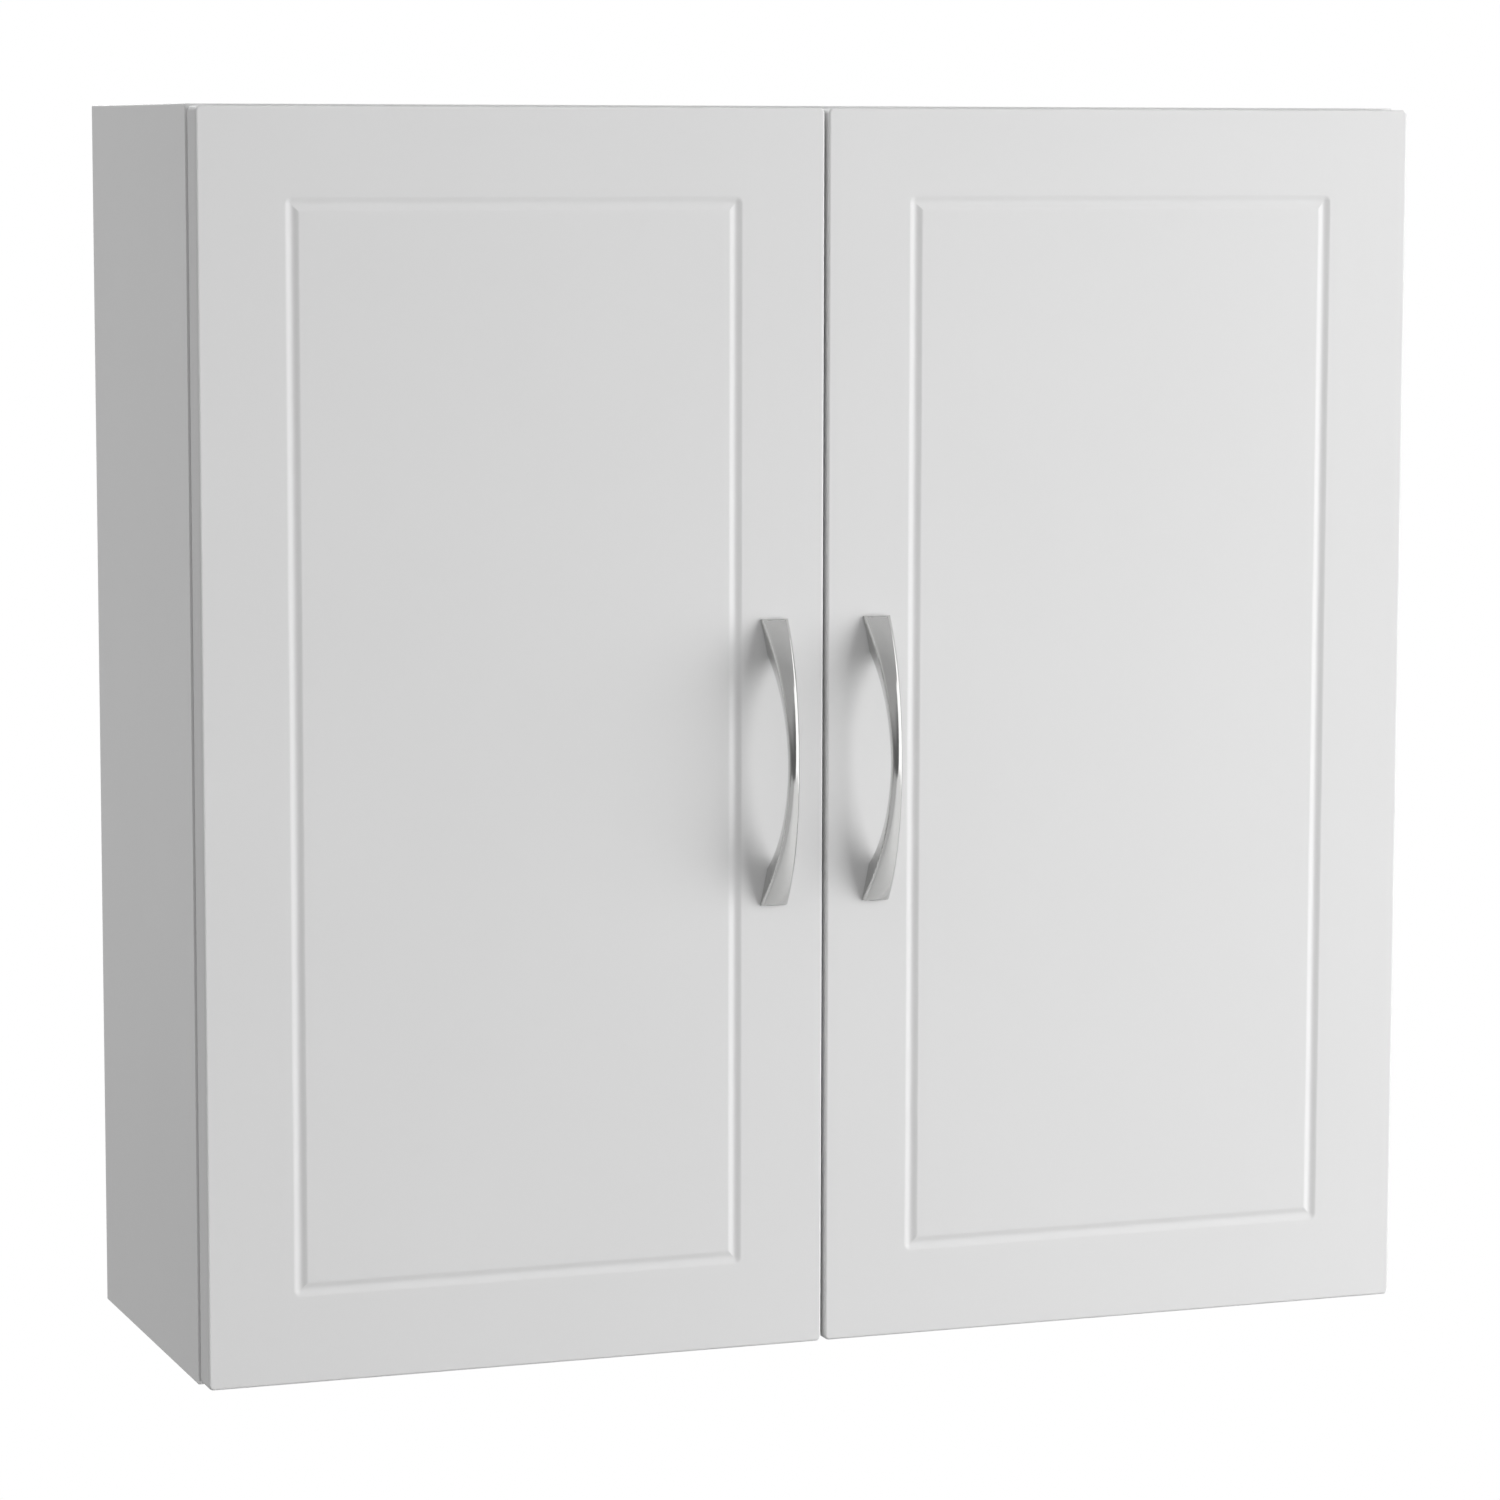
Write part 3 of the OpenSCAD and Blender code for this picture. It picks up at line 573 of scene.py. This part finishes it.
def moulded_plastic(name, rgba, grain, low_gloss, high_gloss):
    """Injection-moulded plastic: even colour, spark-eroded grain from the mould.

    Real grain is about a tenth of a millimetre; each piece has it as coarse as it needs to show.
    """
    made, tree, shader = new_material(name)
    place = add(tree, "ShaderNodeTexCoord").outputs["Object"]
    texture = add(
        tree, "ShaderNodeTexNoise", values={"Scale": 1 / grain, "Detail": 2.0}, links={"Vector": place}
    )
    body = add(
        tree,
        "ShaderNodeMix",
        {"data_type": "RGBA"},
        {"A": tint(rgba, 0.97), "B": tint(rgba, 1.02)},
        {"Factor": texture.outputs["Fac"]},
    )
    gloss = add(
        tree,
        "ShaderNodeMapRange",
        values={"From Min": NOISE_LOW, "From Max": NOISE_HIGH, "To Min": low_gloss, "To Max": high_gloss},
        links={"Value": texture.outputs["Fac"]},
    )
    bump = add(
        tree,
        "ShaderNodeBump",
        values={"Strength": 0.3, "Distance": 0.05 * MM},
        links={"Height": texture.outputs["Fac"]},
    )
    tree.links.new(body.outputs[2], shader.inputs["Base Color"])
    tree.links.new(gloss.outputs["Result"], shader.inputs["Roughness"])
    tree.links.new(bump.outputs["Normal"], shader.inputs["Normal"])
    shader.inputs["IOR"].default_value = 1.5
    return made


def white_plastic(name):
    """White nylon of the catch, with mould grain drawn at 0.6 mm."""
    look = bpy.context.scene.cabinet_fittings
    return moulded_plastic(name, look.plastic, 0.6 * MM, 0.36, 0.5)


def clear_bumper(name):
    """Clear soft polyurethane dots: let light through, with a slightly frosted dome."""
    look = bpy.context.scene.cabinet_fittings
    made = moulded_plastic(name, look.bumper, 1.2 * MM, 0.18, 0.3)
    shader = made.node_tree.nodes["Principled BSDF"]
    shader.inputs["Transmission Weight"].default_value = 0.6
    return made


def sintered_ferrite(name):
    """Sintered ferrite: near-black ceramic, matt, with a fine pressed grain."""
    look = bpy.context.scene.cabinet_fittings
    return moulded_plastic(name, look.ferrite, 0.4 * MM, 0.55, 0.75)


# ---- pieces ----


def dress(nodes, finish):
    """Gives CAD nodes one material."""
    for node in nodes:
        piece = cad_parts[node]
        for held in piece.material_slots:
            held.material = finish


def round_edges(piece, radius, turn):
    """Rounds the edges of a piece where it turns by more than an angle."""
    bevel = piece.modifiers.new("soft_edges", "BEVEL")
    bevel.width = radius
    bevel.segments = 2
    bevel.limit_method = "ANGLE"
    bevel.angle_limit = turn
    bevel.use_clamp_overlap = False
    normals = piece.modifiers.new("even_faces", "WEIGHTED_NORMAL")
    normals.keep_sharp = True


def soften(nodes, radius):
    """Rounds the sharp edges of CAD nodes a little, as pressing and finishing leave them."""
    for node in nodes:
        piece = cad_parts[node]
        weld = piece.modifiers.new("weld", "WELD")
        weld.merge_threshold = 0.001 * MM
        round_edges(piece, radius, math.radians(50))


def arc_radius(half_chord, rise):
    """Radius of a circular arch over a chord."""
    return (half_chord**2 + rise**2) / (2 * rise)


def handle_front(look, half_width):
    """Right half of the front of a section, from its side to beside its crest: (distance, depth) pairs."""
    steps_round, steps_across = 10, 4
    least_crown = 0.2 * MM
    radius = min(look.edge_radius, half_width - least_crown)
    crown_radius = (half_width - radius + radius * math.sin(look.crown)) / math.sin(look.crown)
    start = math.pi / 2 - look.draft
    points = []
    for i in range(steps_round + 1):
        angle = start + (look.crown - start) * i / steps_round
        depth = crown_radius * (1 - math.cos(look.crown)) + radius * (math.cos(look.crown) - math.cos(angle))
        points.append((half_width - radius + radius * math.sin(angle), depth))
    for i in range(1, steps_across):
        angle = look.crown * (1 - i / steps_across)
        points.append((crown_radius * math.sin(angle), crown_radius * (1 - math.cos(angle))))
    return points


def handle_section(look, lean):
    """Section square to the front of a handle where that leans by an angle: points, front face towards -Y."""
    radius = arc_radius(look.length / 2 + look.end_cut, look.projection)
    back_radius = arc_radius(look.length / 2 - look.foot, look.projection - look.grip)
    shift = radius - back_radius - look.grip
    thickness = radius - shift * math.cos(lean) - math.sqrt(back_radius**2 - (shift * math.sin(lean)) ** 2)
    share = abs(radius * math.sin(lean)) / (look.length / 2)
    half = handle_front(look, (look.mid_width + (look.foot_width - look.mid_width) * share**look.flare) / 2)
    least_back = 0.8 * MM
    back = max(least_back, half[0][0] - (thickness - half[0][1]) * math.tan(look.draft))
    mirrored = [(-x, depth) for x, depth in reversed(half)]
    ring = []
    for x, depth in [(-back, thickness), (back, thickness)] + half + [(0, 0)] + mirrored:
        reach = radius - depth
        ring.append(Vector((x, radius - look.projection - reach * math.cos(lean), reach * math.sin(lean))))
    return round_corners(ring, (0, 1), look.corner)


def round_corners(ring, sharp, radius):
    """A closed ring whose sharp corners are each replaced by three points on their rounding."""
    rounded = []
    for i, corner in enumerate(ring):
        if i not in sharp:
            rounded.append(corner)
            continue
        before = (ring[i - 1] - corner).normalized()
        after = (ring[(i + 1) % len(ring)] - corner).normalized()
        start, end = corner + before * radius, corner + after * radius
        rounded += [start, (start + end) / 4 + corner / 2, end]
    return rounded


def handle_mesh(name, look, x, y, z):
    """Mesh of an arched handle, cut flat on the door and at both ends."""
    radius = arc_radius(look.length / 2 + look.end_cut, look.projection)
    # the last sections lie wholly behind the door's front, where the arch is cut off
    spare = 4 * MM
    reach = math.acos((radius - look.projection - spare) / radius)
    bm = bmesh.new()
    rings = []
    for i in range(look.steps + 1):
        lean = reach * (2 * i / look.steps - 1)
        rings.append([bm.verts.new(p) for p in handle_section(look, lean)])
    for lower, upper in zip(rings, rings[1:]):
        for j in range(len(lower)):
            k = (j + 1) % len(lower)
            bm.faces.new((lower[j], lower[k], upper[k], upper[j]))
    bm.faces.new(reversed(rings[0]))
    bm.faces.new(rings[-1])
    cuts = [(Vector((0, 0, 0)), Vector((0, 1, 0)))]
    cuts += [(Vector((0, 0, s * look.length / 2)), Vector((0, 0, s))) for s in (-1, 1)]
    for point, normal in cuts:
        everything = bm.verts[:] + bm.edges[:] + bm.faces[:]
        cut = bmesh.ops.bisect_plane(bm, geom=everything, plane_co=point, plane_no=normal, clear_outer=True)
        rim = [e for e in cut["geom_cut"] if isinstance(e, bmesh.types.BMEdge)]
        bmesh.ops.edgeloop_fill(bm, edges=rim)
    bmesh.ops.recalc_face_normals(bm, faces=bm.faces)
    bmesh.ops.translate(bm, verts=bm.verts, vec=Vector((x, y, z)))
    for face in bm.faces:
        face.smooth = True
    mesh = bpy.data.meshes.new(name)
    bm.to_mesh(mesh)
    bm.free()
    return mesh


class CABINET_OT_boards(bpy.types.Operator):
    """Finish the melamine-faced boards of the carcass and the shelves"""

    bl_idname = "cabinet.boards"
    bl_label = "Carcass boards"

    def execute(self, context):
        look = context.scene.cabinet_boards
        x_axis, y_axis, z_axis = 0, 1, 2
        front = (y_axis, True, False)
        boards = {
            "left_side_panel": (x_axis, [front, (z_axis, True, True)]),
            "right_side_panel": (x_axis, [front, (z_axis, True, True)]),
            "top_panel": (z_axis, [front]),
            "bottom_panel": (z_axis, [front]),
            "upper_shelf": (z_axis, [front]),
            "lower_shelf": (z_axis, [front]),
            "upper_rail": (y_axis, []),
            "lower_rail": (y_axis, []),
        }
        for node, (thickness_axis, banded) in boards.items():
            dress([node], melamine_board(node, thickness_axis, banded))
        # the other boards have wide bores in their faces, whose rims would fold under a bevel
        soften([node for node in boards if node.endswith(("side_panel", "shelf"))], look.edge_radius)
        return {"FINISHED"}


class CABINET_OT_back(bpy.types.Operator):
    """Finish the hardboard back"""

    bl_idname = "cabinet.back"
    bl_label = "Back panel"

    def execute(self, context):
        dress(["back_panel"], hardboard("hardboard"))
        return {"FINISHED"}


class CABINET_OT_doors(bpy.types.Operator):
    """Finish the two foil-wrapped doors"""

    bl_idname = "cabinet.doors"
    bl_label = "Doors"

    def execute(self, context):
        dress(["left_door", "right_door"], satin_foil("satin_foil"))
        return {"FINISHED"}


class CABINET_OT_handles(bpy.types.Operator):
    """Build the arched handles with smooth faces and rounded long edges"""

    bl_idname = "cabinet.handles"
    bl_label = "Handles"

    def execute(self, context):
        look = context.scene.cabinet_handles
        finish = bright_nickel("bright_nickel")
        for side in ("left", "right"):
            node = side + "_handle"
            low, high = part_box(node)
            mesh = handle_mesh(node + "_bow", look, (low.x + high.x) / 2, high.y, (low.z + high.z) / 2)
            piece = bpy.data.objects.new(node + "_bow", mesh)
            context.scene.collection.objects.link(piece)
            mesh.materials.append(finish)
            round_edges(piece, look.cut_edge, math.radians(60))
            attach(piece, side + "_door")
            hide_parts(node)
        return {"FINISHED"}


class CABINET_OT_hinges(bpy.types.Operator):
    """Finish the goose-necked cup hinges"""

    bl_idname = "cabinet.hinges"
    bl_label = "Hinges"

    def execute(self, context):
        look = context.scene.cabinet_fittings
        finish = nickel_plated_steel("nickel_plated_steel")
        for corner in ("upper_left", "lower_left", "upper_right", "lower_right"):
            pressed = [corner + "_" + part for part in ("mounting_plate", "hinge_arm", "hinge_cup")]
            dress(pressed + [corner + "_hinge_pin"], finish)
            soften(pressed, look.edge_radius)
        return {"FINISHED"}


class CABINET_OT_fasteners(bpy.types.Operator):
    """Finish the screws, cams, cam bolts and dowels"""

    bl_idname = "cabinet.fasteners"
    bl_label = "Fasteners"

    def execute(self, context):
        zinc = [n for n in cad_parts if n.endswith(("_screws", "_screw"))]
        dress(zinc + ["cam_locks", "cam_bolts"], zinc_plate("zinc_plate"))
        dress(["dowels"], turned_beech("turned_beech"))
        return {"FINISHED"}


class CABINET_OT_shelf_pins(bpy.types.Operator):
    """Finish the spoon-shaped shelf supports"""

    bl_idname = "cabinet.shelf_pins"
    bl_label = "Shelf pins"

    def execute(self, context):
        dress(["shelf_pins"], nickel_plated_steel("nickel_plated_pins"))
        return {"FINISHED"}


class CABINET_OT_catch(bpy.types.Operator):
    """Finish the magnetic catch, its strike plates and the door bumpers"""

    bl_idname = "cabinet.catch"
    bl_label = "Catch and bumpers"

    def execute(self, context):
        look = context.scene.cabinet_fittings
        dress(["catch_body"], white_plastic("white_plastic"))
        dress(["catch_magnets"], sintered_ferrite("sintered_ferrite"))
        plates = ["catch_pole_plates", "left_strike_plate", "right_strike_plate"]
        dress(plates, zinc_plate("zinc_plated_strip"))
        dress(["left_bumpers", "right_bumpers"], clear_bumper("clear_bumper"))
        soften(["catch_body", "left_strike_plate", "right_strike_plate"], look.edge_radius)
        return {"FINISHED"}


# ---- stage ----


def aim(thing, place, target):
    """Puts a lamp at a place and turns it towards a point."""
    thing.location = place
    thing.rotation_euler = (Vector(target) - Vector(place)).to_track_quat("-Z", "Y").to_euler()


def lamp(name, place, target, width, height, power):
    """A rectangular softbox."""
    light = bpy.data.lights.new(name, "AREA")
    light.shape = "RECTANGLE"
    light.size = width
    light.size_y = height
    light.energy = power
    made = bpy.data.objects.new(name, light)
    bpy.context.scene.collection.objects.link(made)
    made.visible_camera = False
    aim(made, place, target)
    return made


def looked_at(tree, path):
    """1 where the camera, a polished face or something clear looks at a surface, and 0 for other light."""
    mirrored = add(
        tree,
        "ShaderNodeMath",
        {"operation": "MAXIMUM"},
        links={0: path["Is Camera Ray"], 1: path["Is Glossy Ray"]},
    )
    seen = add(
        tree,
        "ShaderNodeMath",
        {"operation": "MAXIMUM"},
        links={0: mirrored.outputs[0], 1: path["Is Transmission Ray"]},
    )
    return seen.outputs[0]


def painted_floor(name, rgba):
    """Matt floor paint: pale, faintly rolled; far from the cabinet it fades into the white background."""
    made, tree, shader = new_material(name)
    place = add(tree, "ShaderNodeTexCoord").outputs["Object"]
    roller = add(
        tree, "ShaderNodeTexNoise", values={"Scale": 1 / (4 * MM), "Detail": 2.0}, links={"Vector": place}
    )
    body = add(
        tree,
        "ShaderNodeMix",
        {"data_type": "RGBA"},
        {"A": tint(rgba, 0.98), "B": tint(rgba, 1.02)},
        {"Factor": roller.outputs["Fac"]},
    )
    tree.links.new(body.outputs[2], shader.inputs["Base Color"])
    shader.inputs["Roughness"].default_value = 0.7
    path = add(tree, "ShaderNodeLightPath").outputs
    seen = looked_at(tree, path)
    # metres from the middle of the floor
    fade_start, fade_end = 0.8, 2.2
    away = add(tree, "ShaderNodeVectorMath", {"operation": "LENGTH"}, links={0: place})
    fade = add(
        tree,
        "ShaderNodeMapRange",
        values={"From Min": fade_start, "From Max": fade_end},
        links={"Value": away.outputs["Value"]},
    )
    share = add(
        tree,
        "ShaderNodeMath",
        {"operation": "MULTIPLY"},
        links={0: seen, 1: fade.outputs["Result"]},
    )
    # in reflections the floor glows dimmer away from the window: painted shade that only polished faces show
    dim_end, bright_end, dim = -0.6, 0.8, 0.6
    across = add(tree, "ShaderNodeSeparateXYZ", links={"Vector": place}).outputs[0]
    side = add(
        tree,
        "ShaderNodeMapRange",
        values={"From Min": dim_end, "From Max": bright_end, "To Min": dim},
        links={"Value": across},
    )
    level = add(
        tree,
        "ShaderNodeMix",
        {"data_type": "FLOAT"},
        {"A": 1.0},
        {"Factor": path["Is Glossy Ray"], "B": side.outputs["Result"]},
    )
    white = add(tree, "ShaderNodeEmission", links={"Strength": level.outputs[0]})
    mixed = add(
        tree,
        "ShaderNodeMixShader",
        links={0: share.outputs[0], 1: shader.outputs["BSDF"], 2: white.outputs["Emission"]},
    )
    tree.links.new(mixed.outputs["Shader"], tree.nodes["Material Output"].inputs["Surface"])
    return made


def room_piece(name, outline, finish):
    """A flat piece of the studio room, which only polished surfaces show."""
    bm = bmesh.new()
    bm.faces.new([bm.verts.new(p) for p in outline])
    mesh = bpy.data.meshes.new(name)
    bm.to_mesh(mesh)
    bm.free()
    mesh.materials.append(finish)
    made = bpy.data.objects.new(name, mesh)
    bpy.context.scene.collection.objects.link(made)
    made.visible_camera = False
    made.visible_diffuse = False
    made.visible_shadow = False
    made.visible_transmission = False


def dim_wall(name, dark, middle, overhead):
    """Glow of the unlit room, seen only in reflections: painted shade low down and to the right, painted
    light overhead.
    """
    made, tree, shader = new_material(name)
    tree.nodes.remove(shader)
    place = add(tree, "ShaderNodeTexCoord").outputs["Object"]
    axes = add(tree, "ShaderNodeSeparateXYZ", links={"Vector": place}).outputs
    # right of the first place the dark climbs by a share of the way
    first, climb = -0.5, 0.35
    across = add(tree, "ShaderNodeMath", {"operation": "MAXIMUM"}, {1: first}, {0: axes[0]})
    slant = add(
        tree, "ShaderNodeMath", {"operation": "MULTIPLY_ADD"}, {1: -climb}, {0: across.outputs[0], 2: axes[2]}
    )
    wall_low, wall_high = 0.15, 1.5
    wall = add(
        tree,
        "ShaderNodeMapRange",
        values={"From Min": wall_low, "From Max": wall_high, "To Min": dark, "To Max": middle},
        links={"Value": slant.outputs[0]},
    )
    ceiling_front, ceiling_rear = -3.2, -1.1
    ceiling = add(
        tree,
        "ShaderNodeMapRange",
        values={"From Min": ceiling_front, "From Max": ceiling_rear, "To Max": overhead - middle},
        links={"Value": axes[1]},
    )
    level = add(
        tree,
        "ShaderNodeMath",
        {"operation": "ADD"},
        links={0: wall.outputs["Result"], 1: ceiling.outputs["Result"]},
    )
    glow = add(tree, "ShaderNodeEmission", links={"Strength": level.outputs[0]})
    tree.links.new(glow.outputs["Emission"], tree.nodes["Material Output"].inputs["Surface"])
    return made


def even_glow(name, strength):
    """A surface of one even brightness."""
    made, tree, shader = new_material(name)
    tree.nodes.remove(shader)
    glow = add(tree, "ShaderNodeEmission", values={"Strength": strength})
    tree.links.new(glow.outputs["Emission"], tree.nodes["Material Output"].inputs["Surface"])
    return made


def studio_room(look):
    """Front wall, left wall, ceiling and right window."""
    left, wall, back, bottom, top = -4.5, -4.2, 2.5, -0.94, 3.5
    # the front wall ends on the right along a slanted curtain edge
    low_end, high_end, right = 1.5, 4.2, 5.0
    # paint here is the room's glow, seen only in reflections: painted shade low and right, painted light
    # overhead
    paint = dim_wall("unlit_room", look.room_dark, look.room_middle, look.room_overhead)
    glass = even_glow("daylight", look.window)
    room_piece(
        "room_front",
        [(left, wall, bottom), (low_end, wall, bottom), (high_end, wall, top), (left, wall, top)],
        paint,
    )
    room_piece(
        "room_left", [(left, back, bottom), (left, wall, bottom), (left, wall, top), (left, back, top)], paint
    )
    room_piece(
        "room_ceiling", [(left, wall, top), (right, wall, top), (right, back, top), (left, back, top)], paint
    )
    # the windows stand just behind the wall, and the right one ends near the cabinet's rear
    far, sill, end = wall - 0.1, bottom - 0.2, 0.5
    room_piece(
        "window_front",
        [(low_end, far, bottom), (right, far, bottom), (right, far, top), (low_end, far, top)],
        glass,
    )
    room_piece(
        "window_right",
        [(right, far, sill), (right, end, sill), (right, end, top), (right, far, top)],
        glass,
    )


def white_room(ambient):
    """World light: a soft room, seen as plain white."""
    world = bpy.data.worlds.new("white_room")
    world.use_nodes = True
    tree = world.node_tree
    tree.nodes.clear()
    path = add(tree, "ShaderNodeLightPath").outputs
    seen = looked_at(tree, path)
    direction = add(tree, "ShaderNodeTexCoord").outputs["Generated"]
    axes = add(tree, "ShaderNodeSeparateXYZ", links={"Vector": direction}).outputs
    # less light comes from below, so that undersides stay in shade
    down, level_up, share_below = -0.6, 0.1, 0.2
    height = add(
        tree,
        "ShaderNodeMapRange",
        values={"From Min": down, "From Max": level_up, "To Min": share_below * ambient, "To Max": ambient},
        links={"Value": axes[2]},
    )
    # and less from the side of the key lamp
    full_right, share_right = 0.9, 0.3
    side = add(
        tree,
        "ShaderNodeMapRange",
        values={"From Max": full_right, "To Min": 1.0, "To Max": share_right},
        links={"Value": axes[0]},
    )
    level = add(
        tree,
        "ShaderNodeMath",
        {"operation": "MULTIPLY"},
        links={0: height.outputs["Result"], 1: side.outputs["Result"]},
    )
    room = add(tree, "ShaderNodeBackground", links={"Strength": level.outputs[0]})
    white = add(tree, "ShaderNodeBackground", values={"Strength": 1.0})
    for background in (room, white):
        background.inputs["Color"].default_value = (1, 1, 1, 1)
    mixed = add(
        tree,
        "ShaderNodeMixShader",
        links={0: seen, 1: room.outputs["Background"], 2: white.outputs["Background"]},
    )
    add(tree, "ShaderNodeOutputWorld", links={"Surface": mixed.outputs["Shader"]})
    return world


class CABINET_OT_stage(bpy.types.Operator):
    """Set up the floor, the lamps, the background and the camera"""

    bl_idname = "cabinet.stage"
    bl_label = "Stage"

    def execute(self, context):
        scene = context.scene
        look = scene.cabinet_stage
        low, high = Vector(CAD_BOX[0]), Vector(CAD_BOX[1])
        middle = (low + high) / 2

        floor_width = 16
        floor_place = (middle.x, middle.y, low.z - look.hanging_height)
        bpy.ops.mesh.primitive_plane_add(size=floor_width, location=floor_place)
        floor = context.object
        floor.name = "floor"
        floor.data.materials.append(painted_floor("painted_floor", look.floor))
        # light off the floor would fill the shade under the doors
        floor.visible_diffuse = False

        studio_room(look)
        # in reflections the window takes the key lamp's place, and the ceiling the top lamp's
        lamp("key_lamp", (2.3, -1.9, 0.0), middle, 3.0, 2.6, look.key_power).visible_glossy = False
        lamp("rear_lamp", (0, 2.4, 1.0), middle, 0.6, 1.6, look.rear_power)
        lamp("top_lamp", (0, 0.5, 2.5), middle, 0.6, 0.8, look.top_power).visible_glossy = False
        scene.world = white_room(look.ambient)

        eye = bpy.data.cameras.new("camera")
        eye.sensor_width = 36
        eye.lens = look.lens
        camera = bpy.data.objects.new("camera", eye)
        scene.collection.objects.link(camera)
        turn = Matrix.Rotation(-look.yaw, 4, "Z") @ Matrix.Rotation(math.pi / 2 + look.pitch, 4, "X")
        camera.matrix_world = Matrix.Translation(look.camera) @ turn @ Matrix.Rotation(look.roll, 4, "Z")
        scene.camera = camera
        scene.view_settings.view_transform = "Standard"
        return {"FINISHED"}


# ---- add-on ----

SETTINGS = {
    "cabinet_boards": CabinetBoardSettings,
    "cabinet_doors": CabinetDoorSettings,
    "cabinet_handles": CabinetHandleSettings,
    "cabinet_fittings": CabinetFittingSettings,
    "cabinet_stage": CabinetStageSettings,
}
OPERATORS = (
    CABINET_OT_boards,
    CABINET_OT_back,
    CABINET_OT_doors,
    CABINET_OT_handles,
    CABINET_OT_hinges,
    CABINET_OT_fasteners,
    CABINET_OT_shelf_pins,
    CABINET_OT_catch,
    CABINET_OT_stage,
)


class CABINET_PT_panel(bpy.types.Panel):
    """Sidebar panel with one button for each group of pieces"""

    bl_idname = "CABINET_PT_panel"
    bl_label = "Hanging wall cabinet"
    bl_space_type = "VIEW_3D"
    bl_region_type = "UI"
    bl_category = "Cabinet"

    def draw(self, context):
        for operator in OPERATORS:
            self.layout.operator(operator.bl_idname)
        for name, group in SETTINGS.items():
            box = self.layout.box()
            for setting in group.__annotations__:
                box.prop(getattr(context.scene, name), setting)


def register():
    for group in SETTINGS.values():
        bpy.utils.register_class(group)
    for name, group in SETTINGS.items():
        setattr(bpy.types.Scene, name, bpy.props.PointerProperty(type=group))
    for operator in OPERATORS:
        bpy.utils.register_class(operator)
    bpy.utils.register_class(CABINET_PT_panel)


def unregister():
    bpy.utils.unregister_class(CABINET_PT_panel)
    for operator in reversed(OPERATORS):
        bpy.utils.unregister_class(operator)
    for name in SETTINGS:
        delattr(bpy.types.Scene, name)
    for group in reversed(SETTINGS.values()):
        bpy.utils.unregister_class(group)


def main():
    register()
    bpy.ops.cabinet.boards()
    bpy.ops.cabinet.back()
    bpy.ops.cabinet.doors()
    bpy.ops.cabinet.handles()
    bpy.ops.cabinet.hinges()
    bpy.ops.cabinet.fasteners()
    bpy.ops.cabinet.shelf_pins()
    bpy.ops.cabinet.catch()
    bpy.ops.cabinet.stage()


if __name__ == "__main__":
    main()
